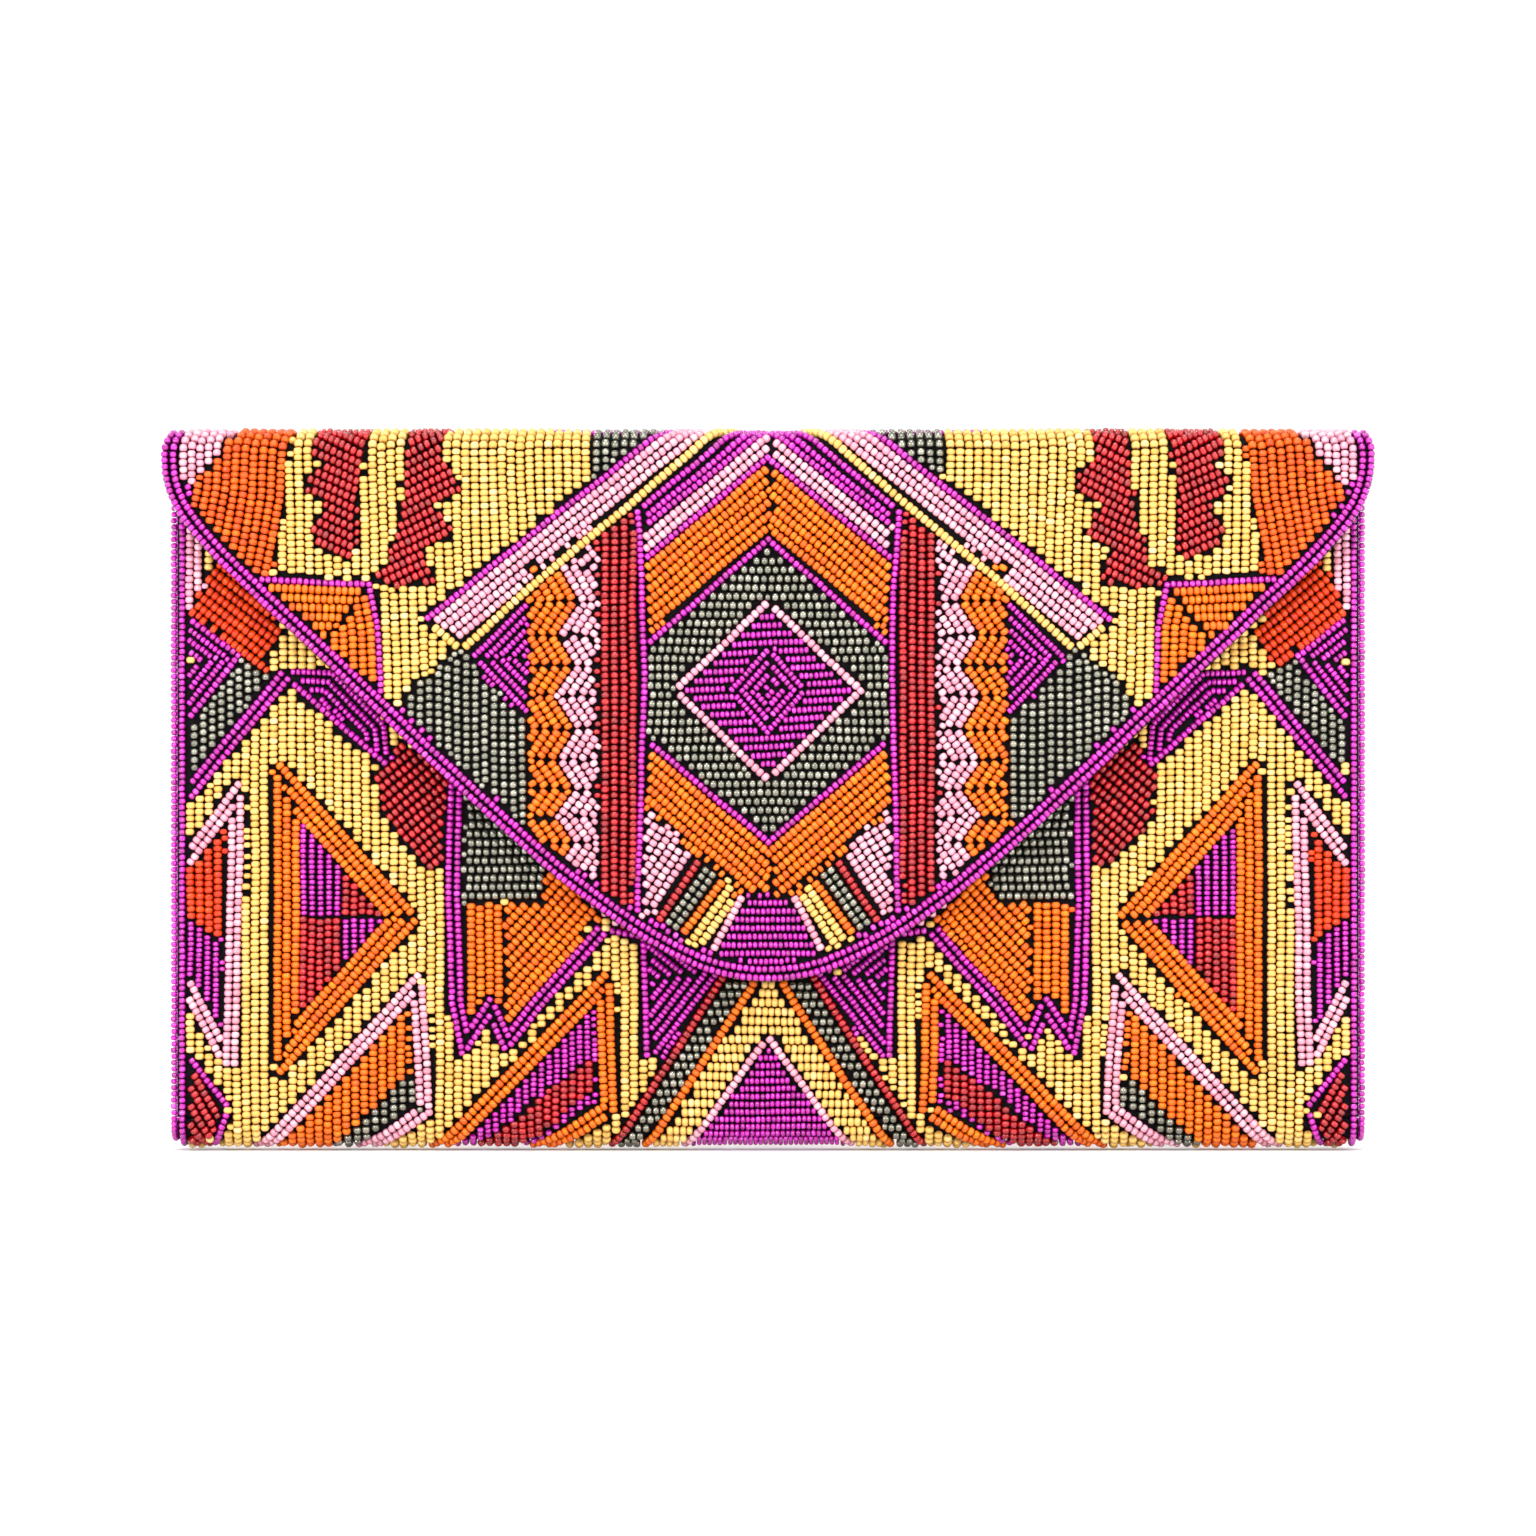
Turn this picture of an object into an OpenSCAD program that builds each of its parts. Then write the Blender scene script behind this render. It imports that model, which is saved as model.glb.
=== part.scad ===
// Beaded envelope clutch purse: a flat two-panel pocket with a pointed flap,
// a two-crease top fold, pleated side gussets and a slim magnetic snap.
// Millimetres. +X across the bag, -Y out of the front, +Z up; the origin is under
// the middle of the bag, at the lowest line of the bottom fold.

/* [Overall] */
// Width of the flap at the top fold
flap_w = 280; // [240:1:300]
// Width of the pocket over its edge beads
body_w = 277; // [236:1:296]
// Height over the top and bottom folds
bag_h = 167; // [160:1:180]
// Height of the flap tip above the bottom fold
tip_z = 39; // [36:0.2:44]

/* [Layers] */
// Diameter of the large seed beads, which is the depth of the bead layer
bead_t = 2.1; // [1.8:0.1:2.4]
// Diameter of the small seed beads in the edge rows
edge_bead_d = 1.6; // [1.2:0.1:1.8]
// Thickness of the ground cloth the beads are sewn to
cloth_t = 0.5; // [0.3:0.1:0.6]
// Thickness of the stiffener boards
board_t = 1.0; // [0.9:0.1:1.2]
// Thickness of the lining fabric
lining_t = 0.4; // [0.3:0.1:0.5]
// Clear depth of the empty pocket
pocket_gap = 5.6; // [5:0.2:7]
// Depth of the air gap between the front beads and the flap lining
flap_gap = 1.3; // [1.2:0.1:2]

/* [Front pocket] */
// Height of the front panel's top edge
mouth_z = 152.6; // [140:0.2:153]
// How far the side pleats reach into the pocket
pleat_d = 12; // [8:1:16]
// Width of the slip pocket on the back lining
slip_w = 130; // [100:1:160]
// Height of the slip pocket
slip_h = 88; // [60:1:100]

/* [Magnetic snap] */
// Diameter of the snap
snap_d = 14; // [12:1:16]
// Height of the snap's centre above the bottom fold
snap_z = 59; // [57:0.5:64]
// Diameter of the stud
stud_d = 5.4; // [4.6:0.2:5.6]

/* [Hidden] */
$fn = 48;
gap = 0.05;    // thread line between two layers
fold_r = 5.6;  // outer radius of the two top folds

// Layer faces of the pocket, as distances outwards from its middle plane
lining_in = pocket_gap / 2;
lining_out = lining_in + lining_t;
board_in = lining_out + gap;
board_out = board_in + board_t;
cloth_in = board_out + gap;
cloth_out = cloth_in + cloth_t;
bead_out = cloth_out + bead_t;

// The flap's faces, further out in front
flap_lining_in = bead_out + flap_gap;
flap_lining_out = flap_lining_in + lining_t;
flap_board_in = flap_lining_out + gap;
flap_board_out = flap_board_in + board_t;
flap_cloth_in = flap_board_out + gap;
flap_cloth_out = flap_cloth_in + cloth_t;
flap_bead_out = flap_cloth_out + bead_t;

// Centres of the fold arcs
fold_z = bag_h - fold_r;
rear_fold_y = bead_out - fold_r;
front_fold_y = -flap_bead_out + fold_r;
bottom_z = bead_out;

foot_z = bottom_z + 0.7;                 // lower edge of the front panel
centre_y = (flap_bead_out - bead_out) / 2;  // shift that centres the bag on Y

// Half widths of the pocket's layers
field_x = body_w / 2 - 6;                // bead field
cloth_x = body_w / 2 - edge_bead_d;
lining_x = cloth_x - 1.5;
board_x = cloth_x - 3;
board_end = 1;                           // boards stop this far short in Z

// Insets from the flap's edge
flap_field_inset = 5;
flap_board_inset = 4;
flap_lining_inset = 2;
flap_row_inset = 0.1;                    // either side of the edge bead band

// Bead colours. Each also selects its part of the pattern, so all must differ.
cream = "#f2dc8c";
orange = "#f07d14";
pink = "#eba6cc";
red = "#a3121f";
pewter = "#7f8276";
magenta = "#b81fb4";
pattern_colors = [orange, pink, red, pewter, magenta];  // cream is the ground

black = "#17131a";
buff = "#b9a98c";
satin = "#1d1a22";
nickel = "#c9c6bf";
ferrite = "#3b3a3a";

// ---- outlines and sheets ----------------------------------------------------

// Point at t on the cubic Bezier curve with control points p
function bezier(p, t) =
    let (s = 1 - t)
    s*s*s*p[0] + 3*s*s*t*p[1] + 3*s*t*t*p[2] + t*t*t*p[3];

// Right half of the flap's edge, from the top fold down to the tip. The control
// points are set out for a half width of 140 and stretch in X with the flap.
function flap_half(inset) =
    let (half_w = flap_w / 2 - inset,
         stretch = half_w / 140,
         shoulder = [118.2 * stretch, 127.4 + inset * 0.55],
         upper = [[half_w, fold_z], [half_w + 0.6, 149.6 + inset * 0.3],
                  [134.2 * stretch, 142.2 + inset * 0.4], shoulder],
         lower = [shoulder, [64.4 * stretch, 77.5 + inset * 0.95],
                  [31 * stretch, tip_z + inset], [0, tip_z + inset]])
    concat([for (i = [0:7]) bezier(upper, i / 8)],
           [for (i = [0:16]) bezier(lower, i / 16)]);

module flap_outline(inset, top = fold_z) {
    right = flap_half(inset);
    left = [for (i = [len(right) - 2:-1:0]) [-right[i][0], right[i][1]]];
    intersection() {
        polygon(concat(right, left));
        translate([-flap_w, 0]) square([2 * flap_w, top]);
    }
}

module panel_outline(half_x, bottom, top) {
    translate([-half_x, bottom]) square([2 * half_x, top - bottom]);
}

// The children and their mirror image across the bag's middle
module both_sides() {
    children();
    mirror([1, 0]) children();
}

// A plate drawn in the X-Z plane, from y to y + t
module plate(y, t) {
    translate([0, y + t, 0]) rotate([90, 0, 0]) linear_extrude(height = t)
        children();
}

// A sector of a tube along X, centred on (y, z). Angle 0 points to +Y, 90 up.
module arc_sheet(half_x, y, z, inner_r, outer_r, start, end) {
    translate([-half_x, y, z]) rotate([90, 0, 90]) linear_extrude(height = 2 * half_x)
        difference() {
            intersection() {
                circle(r = outer_r, $fn = 64);
                polygon(concat([[0, 0]],
                    [for (i = [0:4])
                        let (angle = start + (end - start) * i / 4)
                        3 * outer_r * [cos(angle), sin(angle)]]));
            }
            circle(r = inner_r, $fn = 64);
        }
}

// ---- bead pattern, drawn flat as [x, z] points ------------------------------

// Flap: two nested diamonds on the middle line
flap_diamond = [[0, 125], [19.4, 106.4], [0, 87.8], [-19.4, 106.4]];
flap_diamond_rim = [[0, 127.4], [22.4, 106.4], [0, 85.4], [-22.4, 106.4]];

module flap_magenta() {
    polygon(flap_diamond);
    both_sides() polygon([[44, 119], [56, 127], [60, 115], [50, 104], [43, 107]]);
    polygon([[-9, 57.4], [9, 57.4], [11, 46], [-11, 46]]);
}
module flap_pink() {
    difference() {
        polygon(flap_diamond_rim);
        polygon(flap_diamond);
    }
    both_sides() {
        polygon([[5.4, fold_z], [24.3, fold_z], [80, 122], [73, 113.5], [8, fold_z - 4]]);
        polygon([[40.5, 139], [46, 135.5], [45, 92], [40.5, 82]]);
        polygon([[29, 78], [12, 62], [20, 50.5], [29, 55.4]]);
    }
}
module flap_pewter() {
    difference() {
        polygon([[0, 139.6], [28.4, 118.4], [28.4, 96.2], [0, 72],
                 [-28.4, 96.2], [-28.4, 118.4]]);
        polygon(flap_diamond_rim);
    }
    both_sides()
        polygon([[62, 114], [84, 112], [86, 103], [60, 79], [57, 84], [56, 104]]);
}
module flap_orange() {
    both_sides() {
        polygon([[0, 158.4], [28.4, 136.6], [28.4, 120.2], [0, 141.4]]);
        polygon([[0, 70.4], [28.4, 94.4], [28.4, 80.4], [5, 60], [0, 60]]);
        polygon([[46.5, 134], [56, 128.5], [49, 118], [49, 108], [55, 100],
                 [56, 82], [49, 71.5], [45.6, 90]]);
        polygon([[127, fold_z], [113, fold_z], [102, 128.5], [121, 134], [134, 151]]);
        polygon([[94, 127], [112, 128], [94, 109]]);
    }
}
module flap_red() {
    both_sides() {
        polygon([[31.4, 146], [40, 140.6], [40, 64], [31.4, 58]]);
        polygon([[100, fold_z], [91, fold_z], [93, 134.6], [103, 140], [106, 149]]);
        polygon([[87, fold_z], [80, fold_z], [76, 150], [78, 135], [86, 122],
                 [92, 127], [88, 140]]);
    }
}

// Pocket: magenta triangle set into a larger orange one
pocket_triangle = [[108.2, 80], [84.4, 54.2], [109, 31]];

module pocket_magenta() {
    polygon([[0, 24.4], [17.4, foot_z], [-17.4, foot_z]]);
    both_sides() {
        polygon([[26.8, 49.6], [10, 39], [27, 23.4]]);
        polygon([[57, 29.6], [38.4, 12], [36, 30]]);
        polygon(pocket_triangle);
        polygon([[112, 113.6], [105, 120], [90, 108], [84.4, 96]]);
        polygon([[132.8, 122], [120, 112], [132.8, 98]]);
    }
}
module pocket_pink() {
    both_sides() {
        polygon([[130.6, 90], [121, 82.6], [123, 28], [131, 39], [131, 43],
                 [125.4, 35], [125, 76], [130.6, 84]]);
        polygon([[78, 33.4], [74.6, 17], [100, foot_z], [113, foot_z]]);
        polygon([[50, 61], [40.4, 55], [45, 50], [52, 54]]);
    }
}
module pocket_pewter() {
    both_sides() {
        polygon([[8, 38], [3.6, 34.6], [22.4, foot_z], [32, foot_z]]);
        polygon([[67.6, 88], [54.4, 70], [53.6, 57.6], [67.6, 58.6]]);
        polygon([[131.6, 97], [118, 110.6], [112, 104.6], [131.6, 84]]);
    }
}
module pocket_orange() {
    both_sides() {
        difference() {
            polygon([[113.6, 92], [76.4, 53.6], [114.4, 18.2]]);
            polygon(pocket_triangle);
        }
        polygon([[67.4, 57.6], [53.6, 56.6], [40, 49], [60, 29], [66, 34]]);
        polygon([[38.4, 37], [35.6, 34], [34, 9], [40, foot_z], [71, foot_z]]);
        polygon([[129.6, 82], [126, 76], [126, 56], [130.6, 62]]);
        polygon([[132.6, 137.4], [112, 113.8], [120, 124], [128, 138]]);
    }
}
module pocket_red() {
    both_sides() {
        polygon([[87.4, 90.4], [72, 72.6], [70, 93], [80, 100]]);
        polygon([[131, 22], [124, 14], [128, foot_z], [131.6, foot_z]]);
    }
}

// One colour's share of each face. Where shapes overlap, the subtracted
// colours win; cream fills whatever is left.
module flap_art(tone) {
    if (tone == cream) difference() {
        flap_outline(flap_field_inset);
        flap_magenta();
        flap_pink();
        flap_pewter();
        flap_orange();
        flap_red();
    }
    else intersection() {
        flap_outline(flap_field_inset);
        if (tone == orange) flap_orange();
        else if (tone == pink) difference() {
            flap_pink();
            flap_orange();
            flap_red();
            flap_magenta();
            flap_pewter();
        }
        else if (tone == red) flap_red();
        else if (tone == pewter) difference() {
            flap_pewter();
            flap_magenta();
            flap_orange();
        }
        else difference() {
            flap_magenta();
            flap_orange();
        }
    }
}
module pocket_art(tone) {
    if (tone == cream) difference() {
        panel_outline(field_x, foot_z, mouth_z);
        pocket_magenta();
        pocket_pink();
        pocket_pewter();
        pocket_orange();
        pocket_red();
    }
    else intersection() {
        panel_outline(field_x, foot_z, mouth_z);
        if (tone == orange) difference() {
            pocket_orange();
            pocket_magenta();
            pocket_pewter();
        }
        else if (tone == pink) difference() {
            pocket_pink();
            pocket_orange();
            pocket_magenta();
            pocket_pewter();
            pocket_red();
        }
        else if (tone == red) difference() {
            pocket_red();
            pocket_orange();
            pocket_pewter();
            pocket_magenta();
        }
        else if (tone == pewter) difference() {
            pocket_pewter();
            pocket_magenta();
        }
        else pocket_magenta();
    }
}
// The back carries both patterns: the flap's inside its outline, the pocket's
// round it.
module back_shapes(tone) {
    intersection() {
        panel_outline(field_x, bottom_z, fold_z);
        union() {
            flap_art(tone);
            difference() {
                pocket_art(tone);
                flap_outline(flap_field_inset);
            }
        }
    }
}
module back_art(tone) {
    if (tone == cream) difference() {
        panel_outline(field_x, bottom_z, fold_z);
        for (other = pattern_colors) back_shapes(other);
    }
    else back_shapes(tone);
}

// ---- beads ------------------------------------------------------------------

module back_beads(tone) {
    color(tone) plate(cloth_out, bead_t) back_art(tone);
}
module front_beads(tone) {
    color(tone) plate(-bead_out, bead_t) difference() {
        pocket_art(tone);
        snap_disc(snap_d + 1);
    }
}
module flap_beads(tone) {
    color(tone) plate(-flap_bead_out, bead_t) flap_art(tone);
}

// Three threaded rows along one side of a panel: two on its face, one on its rim.
// side is 1 for +X, -1 for -X; face is 1 for the back panel, -1 for the front.
module edge_rows(side, face, bottom, top) {
    r = edge_bead_d / 2;
    rows = [[cloth_x - 3.3, cloth_out + r],
            [cloth_x - 1.2, cloth_out + r],
            [cloth_x + r, cloth_out - 0.1]];
    for (row = rows)
        translate([side * row[0], face * row[1], bottom])
            cylinder(r = r, h = top - bottom, $fn = 24);
}
module back_edge_beads(side) {
    color(magenta) edge_rows(side, 1, bottom_z, fold_z);
}
module front_edge_beads(side) {
    color(magenta) edge_rows(side, -1, foot_z, mouth_z);
}
module flap_edge_beads() {
    color(magenta) plate(-flap_cloth_out - edge_bead_d, edge_bead_d) difference() {
        flap_outline(flap_row_inset);
        flap_outline(flap_field_inset - flap_row_inset, fold_z + 1);
    }
}

// ---- back and bottom --------------------------------------------------------

// The flat panel and the rear top fold
module back_cloth() {
    color(black) union() {
        plate(cloth_in, cloth_t) panel_outline(cloth_x, bottom_z, fold_z);
        arc_sheet(cloth_x, rear_fold_y, fold_z,
                  cloth_in - rear_fold_y, cloth_out - rear_fold_y, 0, 78);
    }
}
module back_board() {
    color(buff) plate(board_in, board_t)
        panel_outline(board_x, bottom_z + board_end, fold_z - board_end);
}
module back_lining() {
    color(satin) plate(lining_in, lining_t) panel_outline(lining_x, bottom_z, fold_z);
}

// A patch sewn to the back lining along its sides and bottom, open at the top
slip_z = 26;       // bottom edge
slip_t = 1.1;      // overall depth
slip_wall = 0.35;  // its fabric, in front of the hollow
slip_seam = 2.5;   // width of the sewn border
module slip_pocket() {
    face_y = lining_in - gap - slip_t;
    color(satin) difference() {
        plate(face_y, slip_t) panel_outline(slip_w / 2, slip_z, slip_z + slip_h);
        plate(face_y + slip_wall, 2)
            panel_outline(slip_w / 2 - slip_seam, slip_z + slip_seam, slip_z + slip_h + 1);
    }
}

module bottom_fold(half_x, inner_r, outer_r) {
    arc_sheet(half_x, 0, bottom_z, inner_r, outer_r, 180, 360);
}
module bottom_beads() {
    color(cream) bottom_fold(field_x, cloth_out, bead_out);
}
module bottom_cloth() {
    color(black) bottom_fold(cloth_x, cloth_in, cloth_out);
}
module bottom_lining() {
    color(satin) bottom_fold(lining_x, lining_in, lining_out);
}

// One V-pleat of cloth between the two panels' side edges
module gusset(side) {
    edge_t = 0.4;               // cloth depth at the open edges
    edge_x = cloth_x - 0.4;
    edge_y = lining_in - 0.35;
    crease_x = edge_x - pleat_d + 1;
    crease_y = 0.3;             // half width of the blunt crease
    color(black) scale([side, 1, 1]) translate([0, 0, bottom_z + 1.4])
        linear_extrude(height = mouth_z - bottom_z - 4)
            polygon([[edge_x, edge_y], [crease_x, crease_y], [crease_x, -crease_y],
                     [edge_x, -edge_y], [edge_x, -edge_y + edge_t],
                     [crease_x + 1.6, 0], [edge_x, edge_y - edge_t]]);
}

// ---- front panel ------------------------------------------------------------

module front_cloth() {
    color(black) plate(-cloth_out, cloth_t) difference() {
        panel_outline(cloth_x, foot_z, mouth_z);
        prong_slots(slot_clear);
    }
}
module front_board() {
    color(buff) plate(-board_out, board_t) difference() {
        panel_outline(board_x, foot_z + board_end, mouth_z - board_end);
        snap_disc(snap_board_hole_d);
    }
}
module front_lining() {
    color(satin) plate(-lining_out, lining_t) panel_outline(lining_x, foot_z, mouth_z);
}

// ---- snap -------------------------------------------------------------------

sheet_t = 0.4;                   // sheet metal
snap_h = 2.5;                    // socket, out from the front cloth
cup_h = snap_h - sheet_t - gap;  // cup, clear of the plate behind it
washer_t = 0.45;
stud_base_t = 0.7;
stud_h = 1.7;
lap = 0.1;                       // overlap of joined metal
snap_board_hole_d = snap_d + 3;

prong_x = 4;                     // prong centres either side of the middle
prong_w = 2;
prong_foot = 3;                  // length of the folded end
// From the fabric's far face: gap, washer, gap and the folded end
prong_reach = 2 * gap + washer_t + sheet_t;
slot_clear = 0.4;                // slots over prong size, in fabric
washer_slot_clear = 0.3;         // and in the washers

module snap_disc(d) {
    translate([0, snap_z]) circle(d = d);
}
module prong_slots(clear) {
    slot_x = sheet_t + clear;
    slot_z = prong_w + clear;
    for (s = [-1, 1])
        translate([s * prong_x - slot_x / 2, snap_z - slot_z / 2])
            square([slot_x, slot_z]);
}
// Two prongs running from root_y to end_y, their ends folded away from each other
module prong_pair(root_y, end_y) {
    foot_y = end_y > root_y ? end_y - sheet_t : end_y;
    z = snap_z - prong_w / 2;
    for (s = [-1, 1]) {
        translate([s * prong_x - sheet_t / 2, min(root_y, end_y), z])
            cube([sheet_t, abs(end_y - root_y), prong_w]);
        foot_x = s > 0 ? prong_x - sheet_t / 2 : -prong_x + sheet_t / 2 - prong_foot;
        translate([foot_x, foot_y, z])
            cube([prong_foot, sheet_t, prong_w]);
    }
}
module washer(y) {
    color(nickel) plate(y, washer_t) difference() {
        snap_disc(snap_d + 2);
        prong_slots(washer_slot_clear);
    }
}

// Front half: a sheet cup over a ring magnet, on a plate whose two prongs pass
// through the cloth and fold out over a washer
socket_y = -cloth_out - snap_h;  // front face of the cup
module snap_socket_cup() {
    color(nickel) difference() {
        plate(socket_y, cup_h) snap_disc(snap_d);
        plate(socket_y + sheet_t, snap_h) snap_disc(snap_d - 2 * sheet_t);
        plate(socket_y - 1, snap_h) snap_disc(stud_d + 1);
    }
}
module snap_magnet() {
    color(ferrite) plate(socket_y + sheet_t + gap, cup_h - sheet_t - 2 * gap) difference() {
        snap_disc(snap_d - 2 * sheet_t - 0.2);
        snap_disc(stud_d + 1.2);
    }
}
module snap_socket_plate() {
    color(nickel) union() {
        plate(-cloth_out - sheet_t, sheet_t) snap_disc(snap_d);
        prong_pair(-cloth_out - lap, -cloth_in + prong_reach);
    }
}
module snap_socket_washer() {
    washer(-cloth_in + gap);
}

// Flap half
module snap_stud() {
    color(nickel) union() {
        plate(-flap_lining_in, stud_base_t) snap_disc(snap_d);
        plate(-flap_lining_in + stud_base_t - lap, stud_h) snap_disc(stud_d);
        prong_pair(-flap_lining_in + lap, -flap_lining_out - prong_reach);
    }
}
module snap_stud_washer() {
    washer(-flap_lining_out - gap - washer_t);
}

// ---- spine and flap ---------------------------------------------------------

// Layer heights of the flat spine above the fold centres
spine_cloth_top = fold_r - bead_t;
spine_lining_top = spine_cloth_top - cloth_t - gap;
spine_clear = 0.1;  // short of each fold centre in Y

// A flat layer between the two top folds
module spine_slab(half_x, top, t) {
    translate([-half_x, front_fold_y + spine_clear, fold_z + top - t])
        cube([2 * half_x, rear_fold_y - front_fold_y - 2 * spine_clear, t]);
}
module spine_beads() {
    color(cream) spine_slab(field_x, fold_r, bead_t);
}
module spine_cloth() {
    color(black) spine_slab(cloth_x, spine_cloth_top, cloth_t);
}
module spine_lining() {
    color(satin) spine_slab(lining_x, spine_lining_top, lining_t);
}

// The flat flap and the front top fold
module flap_cloth() {
    color(black) union() {
        plate(-flap_cloth_out, cloth_t) flap_outline(0);
        arc_sheet(flap_w / 2, front_fold_y, fold_z,
                  flap_cloth_in + front_fold_y, flap_cloth_out + front_fold_y, 102, 180);
    }
}
module flap_board() {
    color(buff) plate(-flap_board_out, board_t) difference() {
        flap_outline(flap_board_inset, fold_z - board_end);
        snap_disc(snap_board_hole_d);
    }
}
module flap_lining() {
    color(satin) plate(-flap_lining_out, lining_t) difference() {
        flap_outline(flap_lining_inset);
        prong_slots(slot_clear);
    }
}

// ---- drawing ----------------------------------------------------------------

// Moves a piece from the pocket's middle plane so that the bag is centred on Y
module set() {
    translate([0, centre_y, 0]) children();
}

set() back_beads(cream);  // back_cream_beads
set() back_beads(orange);  // back_orange_beads
set() back_beads(pink);  // back_pink_beads
set() back_beads(red);  // back_red_beads
set() back_beads(pewter);  // back_pewter_beads
set() back_beads(magenta);  // back_magenta_beads
set() back_edge_beads(-1);  // back_edge_beads_left
set() back_edge_beads(1);  // back_edge_beads_right
set() back_cloth();
set() back_board();
set() back_lining();
set() slip_pocket();
set() bottom_beads();
set() bottom_cloth();
set() bottom_lining();
set() gusset(-1);  // gusset_left
set() gusset(1);  // gusset_right
set() front_beads(cream);  // front_cream_beads
set() front_beads(orange);  // front_orange_beads
set() front_beads(pink);  // front_pink_beads
set() front_beads(red);  // front_red_beads
set() front_beads(pewter);  // front_pewter_beads
set() front_beads(magenta);  // front_magenta_beads
set() front_edge_beads(-1);  // front_edge_beads_left
set() front_edge_beads(1);  // front_edge_beads_right
set() front_cloth();
set() front_board();
set() front_lining();
set() snap_socket_cup();
set() snap_magnet();
set() snap_socket_plate();
set() snap_socket_washer();
set() spine_beads();
set() spine_cloth();
set() spine_lining();
set() flap_beads(cream);  // flap_cream_beads
set() flap_beads(orange);  // flap_orange_beads
set() flap_beads(pink);  // flap_pink_beads
set() flap_beads(red);  // flap_red_beads
set() flap_beads(pewter);  // flap_pewter_beads
set() flap_beads(magenta);  // flap_magenta_beads
set() flap_edge_beads();
set() flap_cloth();
set() flap_board();
set() flap_lining();
set() snap_stud();
set() snap_stud_washer();
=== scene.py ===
"""A flat bag with a pointed flap, covered in beads laid in a geometric pattern.

It stands upright: width along X, flap and front towards -Y, height along Z. Lengths are in
millimetres until meshes are built; stage, lights and shaders are in metres. The pattern is
laid out in a plane of x and t, where t is the height followed along the cloth, and is then
wrapped round the folds. "Right" is +X.
"""
import math
from typing import NamedTuple

import bmesh
import bpy
import numpy as np
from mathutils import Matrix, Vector


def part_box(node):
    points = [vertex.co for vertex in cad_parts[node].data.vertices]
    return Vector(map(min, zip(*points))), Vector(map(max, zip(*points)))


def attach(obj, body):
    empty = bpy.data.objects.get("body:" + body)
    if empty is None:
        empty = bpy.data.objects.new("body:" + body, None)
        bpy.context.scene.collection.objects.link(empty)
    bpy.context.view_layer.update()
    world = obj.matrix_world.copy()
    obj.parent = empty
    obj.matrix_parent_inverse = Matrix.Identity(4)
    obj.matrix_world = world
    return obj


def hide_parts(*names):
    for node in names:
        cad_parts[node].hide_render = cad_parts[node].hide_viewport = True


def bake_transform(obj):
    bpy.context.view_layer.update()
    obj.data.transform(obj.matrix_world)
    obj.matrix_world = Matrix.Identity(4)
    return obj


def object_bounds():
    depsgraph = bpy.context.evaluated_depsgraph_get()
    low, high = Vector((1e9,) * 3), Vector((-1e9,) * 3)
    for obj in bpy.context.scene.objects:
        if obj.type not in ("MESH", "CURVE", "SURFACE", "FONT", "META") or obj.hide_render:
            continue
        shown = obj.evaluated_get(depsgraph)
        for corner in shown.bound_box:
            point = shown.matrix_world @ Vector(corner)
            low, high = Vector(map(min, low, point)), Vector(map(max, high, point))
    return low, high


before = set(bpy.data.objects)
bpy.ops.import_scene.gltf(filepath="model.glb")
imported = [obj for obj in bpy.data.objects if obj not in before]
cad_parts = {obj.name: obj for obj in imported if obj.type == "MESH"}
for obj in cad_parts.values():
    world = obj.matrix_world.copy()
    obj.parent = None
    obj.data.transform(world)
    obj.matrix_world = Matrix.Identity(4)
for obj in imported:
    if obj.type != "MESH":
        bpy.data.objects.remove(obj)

CAD_LO, CAD_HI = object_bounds()
RNG = np.random.default_rng(20)
MM = 1000                               # millimetres in a metre
QUARTER = math.pi / 2

# ------------------------------------------------------------------ driving dimensions


def cad_box(name):
    """Lowest and highest corner of a CAD piece, in millimetres."""
    lo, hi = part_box(name)
    return np.array(lo) * MM, np.array(hi) * MM


# heights
FOLD_Z = cad_box("back_lining")[1][2]   # where the panels end and the top folds begin
TOP_Z = CAD_HI.z * MM
BOTTOM_Z = cad_box("back_lining")[0][2]   # centre of the bottom fold
FOOT_Z = cad_box("front_cloth")[0][2]
MOUTH_Z = cad_box("front_cloth")[1][2]
TIP_Z = cad_box("flap_cloth")[0][2]
CUP_LO, CUP_HI = cad_box("snap_socket_cup")
SNAP_Z = (CUP_LO[2] + CUP_HI[2]) / 2
# outer faces of the ground cloth
BACK_Y = cad_box("back_cloth")[1][1]
FRONT_Y = cad_box("front_cloth")[0][1]
FLAP_Y = cad_box("flap_cloth")[0][1]
# half widths
HALF_W = cad_box("back_cloth")[1][0]
FLAP_W = cad_box("flap_cloth")[1][0]
SPINE_W = HALF_W + 1.2
FIELD_W = HALF_W - 2.9                  # bead fields end here; two threaded rows bind the side
# top folds
CLOTH_THICK = 0.5
BEAD_HEIGHT = cad_box("back_cream_beads")[1][1] - BACK_Y
FOLD_R_BEADS = TOP_Z - FOLD_Z           # outer radius over the beads
FOLD_R = FOLD_R_BEADS - BEAD_HEIGHT     # outer radius of the cloth
REAR_ARC_Y = BACK_Y + BEAD_HEIGHT - FOLD_R_BEADS
FRONT_ARC_Y = FLAP_Y - BEAD_HEIGHT + FOLD_R_BEADS
LAY_R = 3.9                             # radius at which the pattern is laid over a fold
ARC_LEN = LAY_R * math.pi / 2
SPINE_LEN = REAR_ARC_Y - FRONT_ARC_Y
SPINE_MID = FOLD_Z + ARC_LEN + SPINE_LEN / 2   # middle of the spine, along the cloth
PATTERN_TOP = SPINE_MID + 0.2
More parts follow.
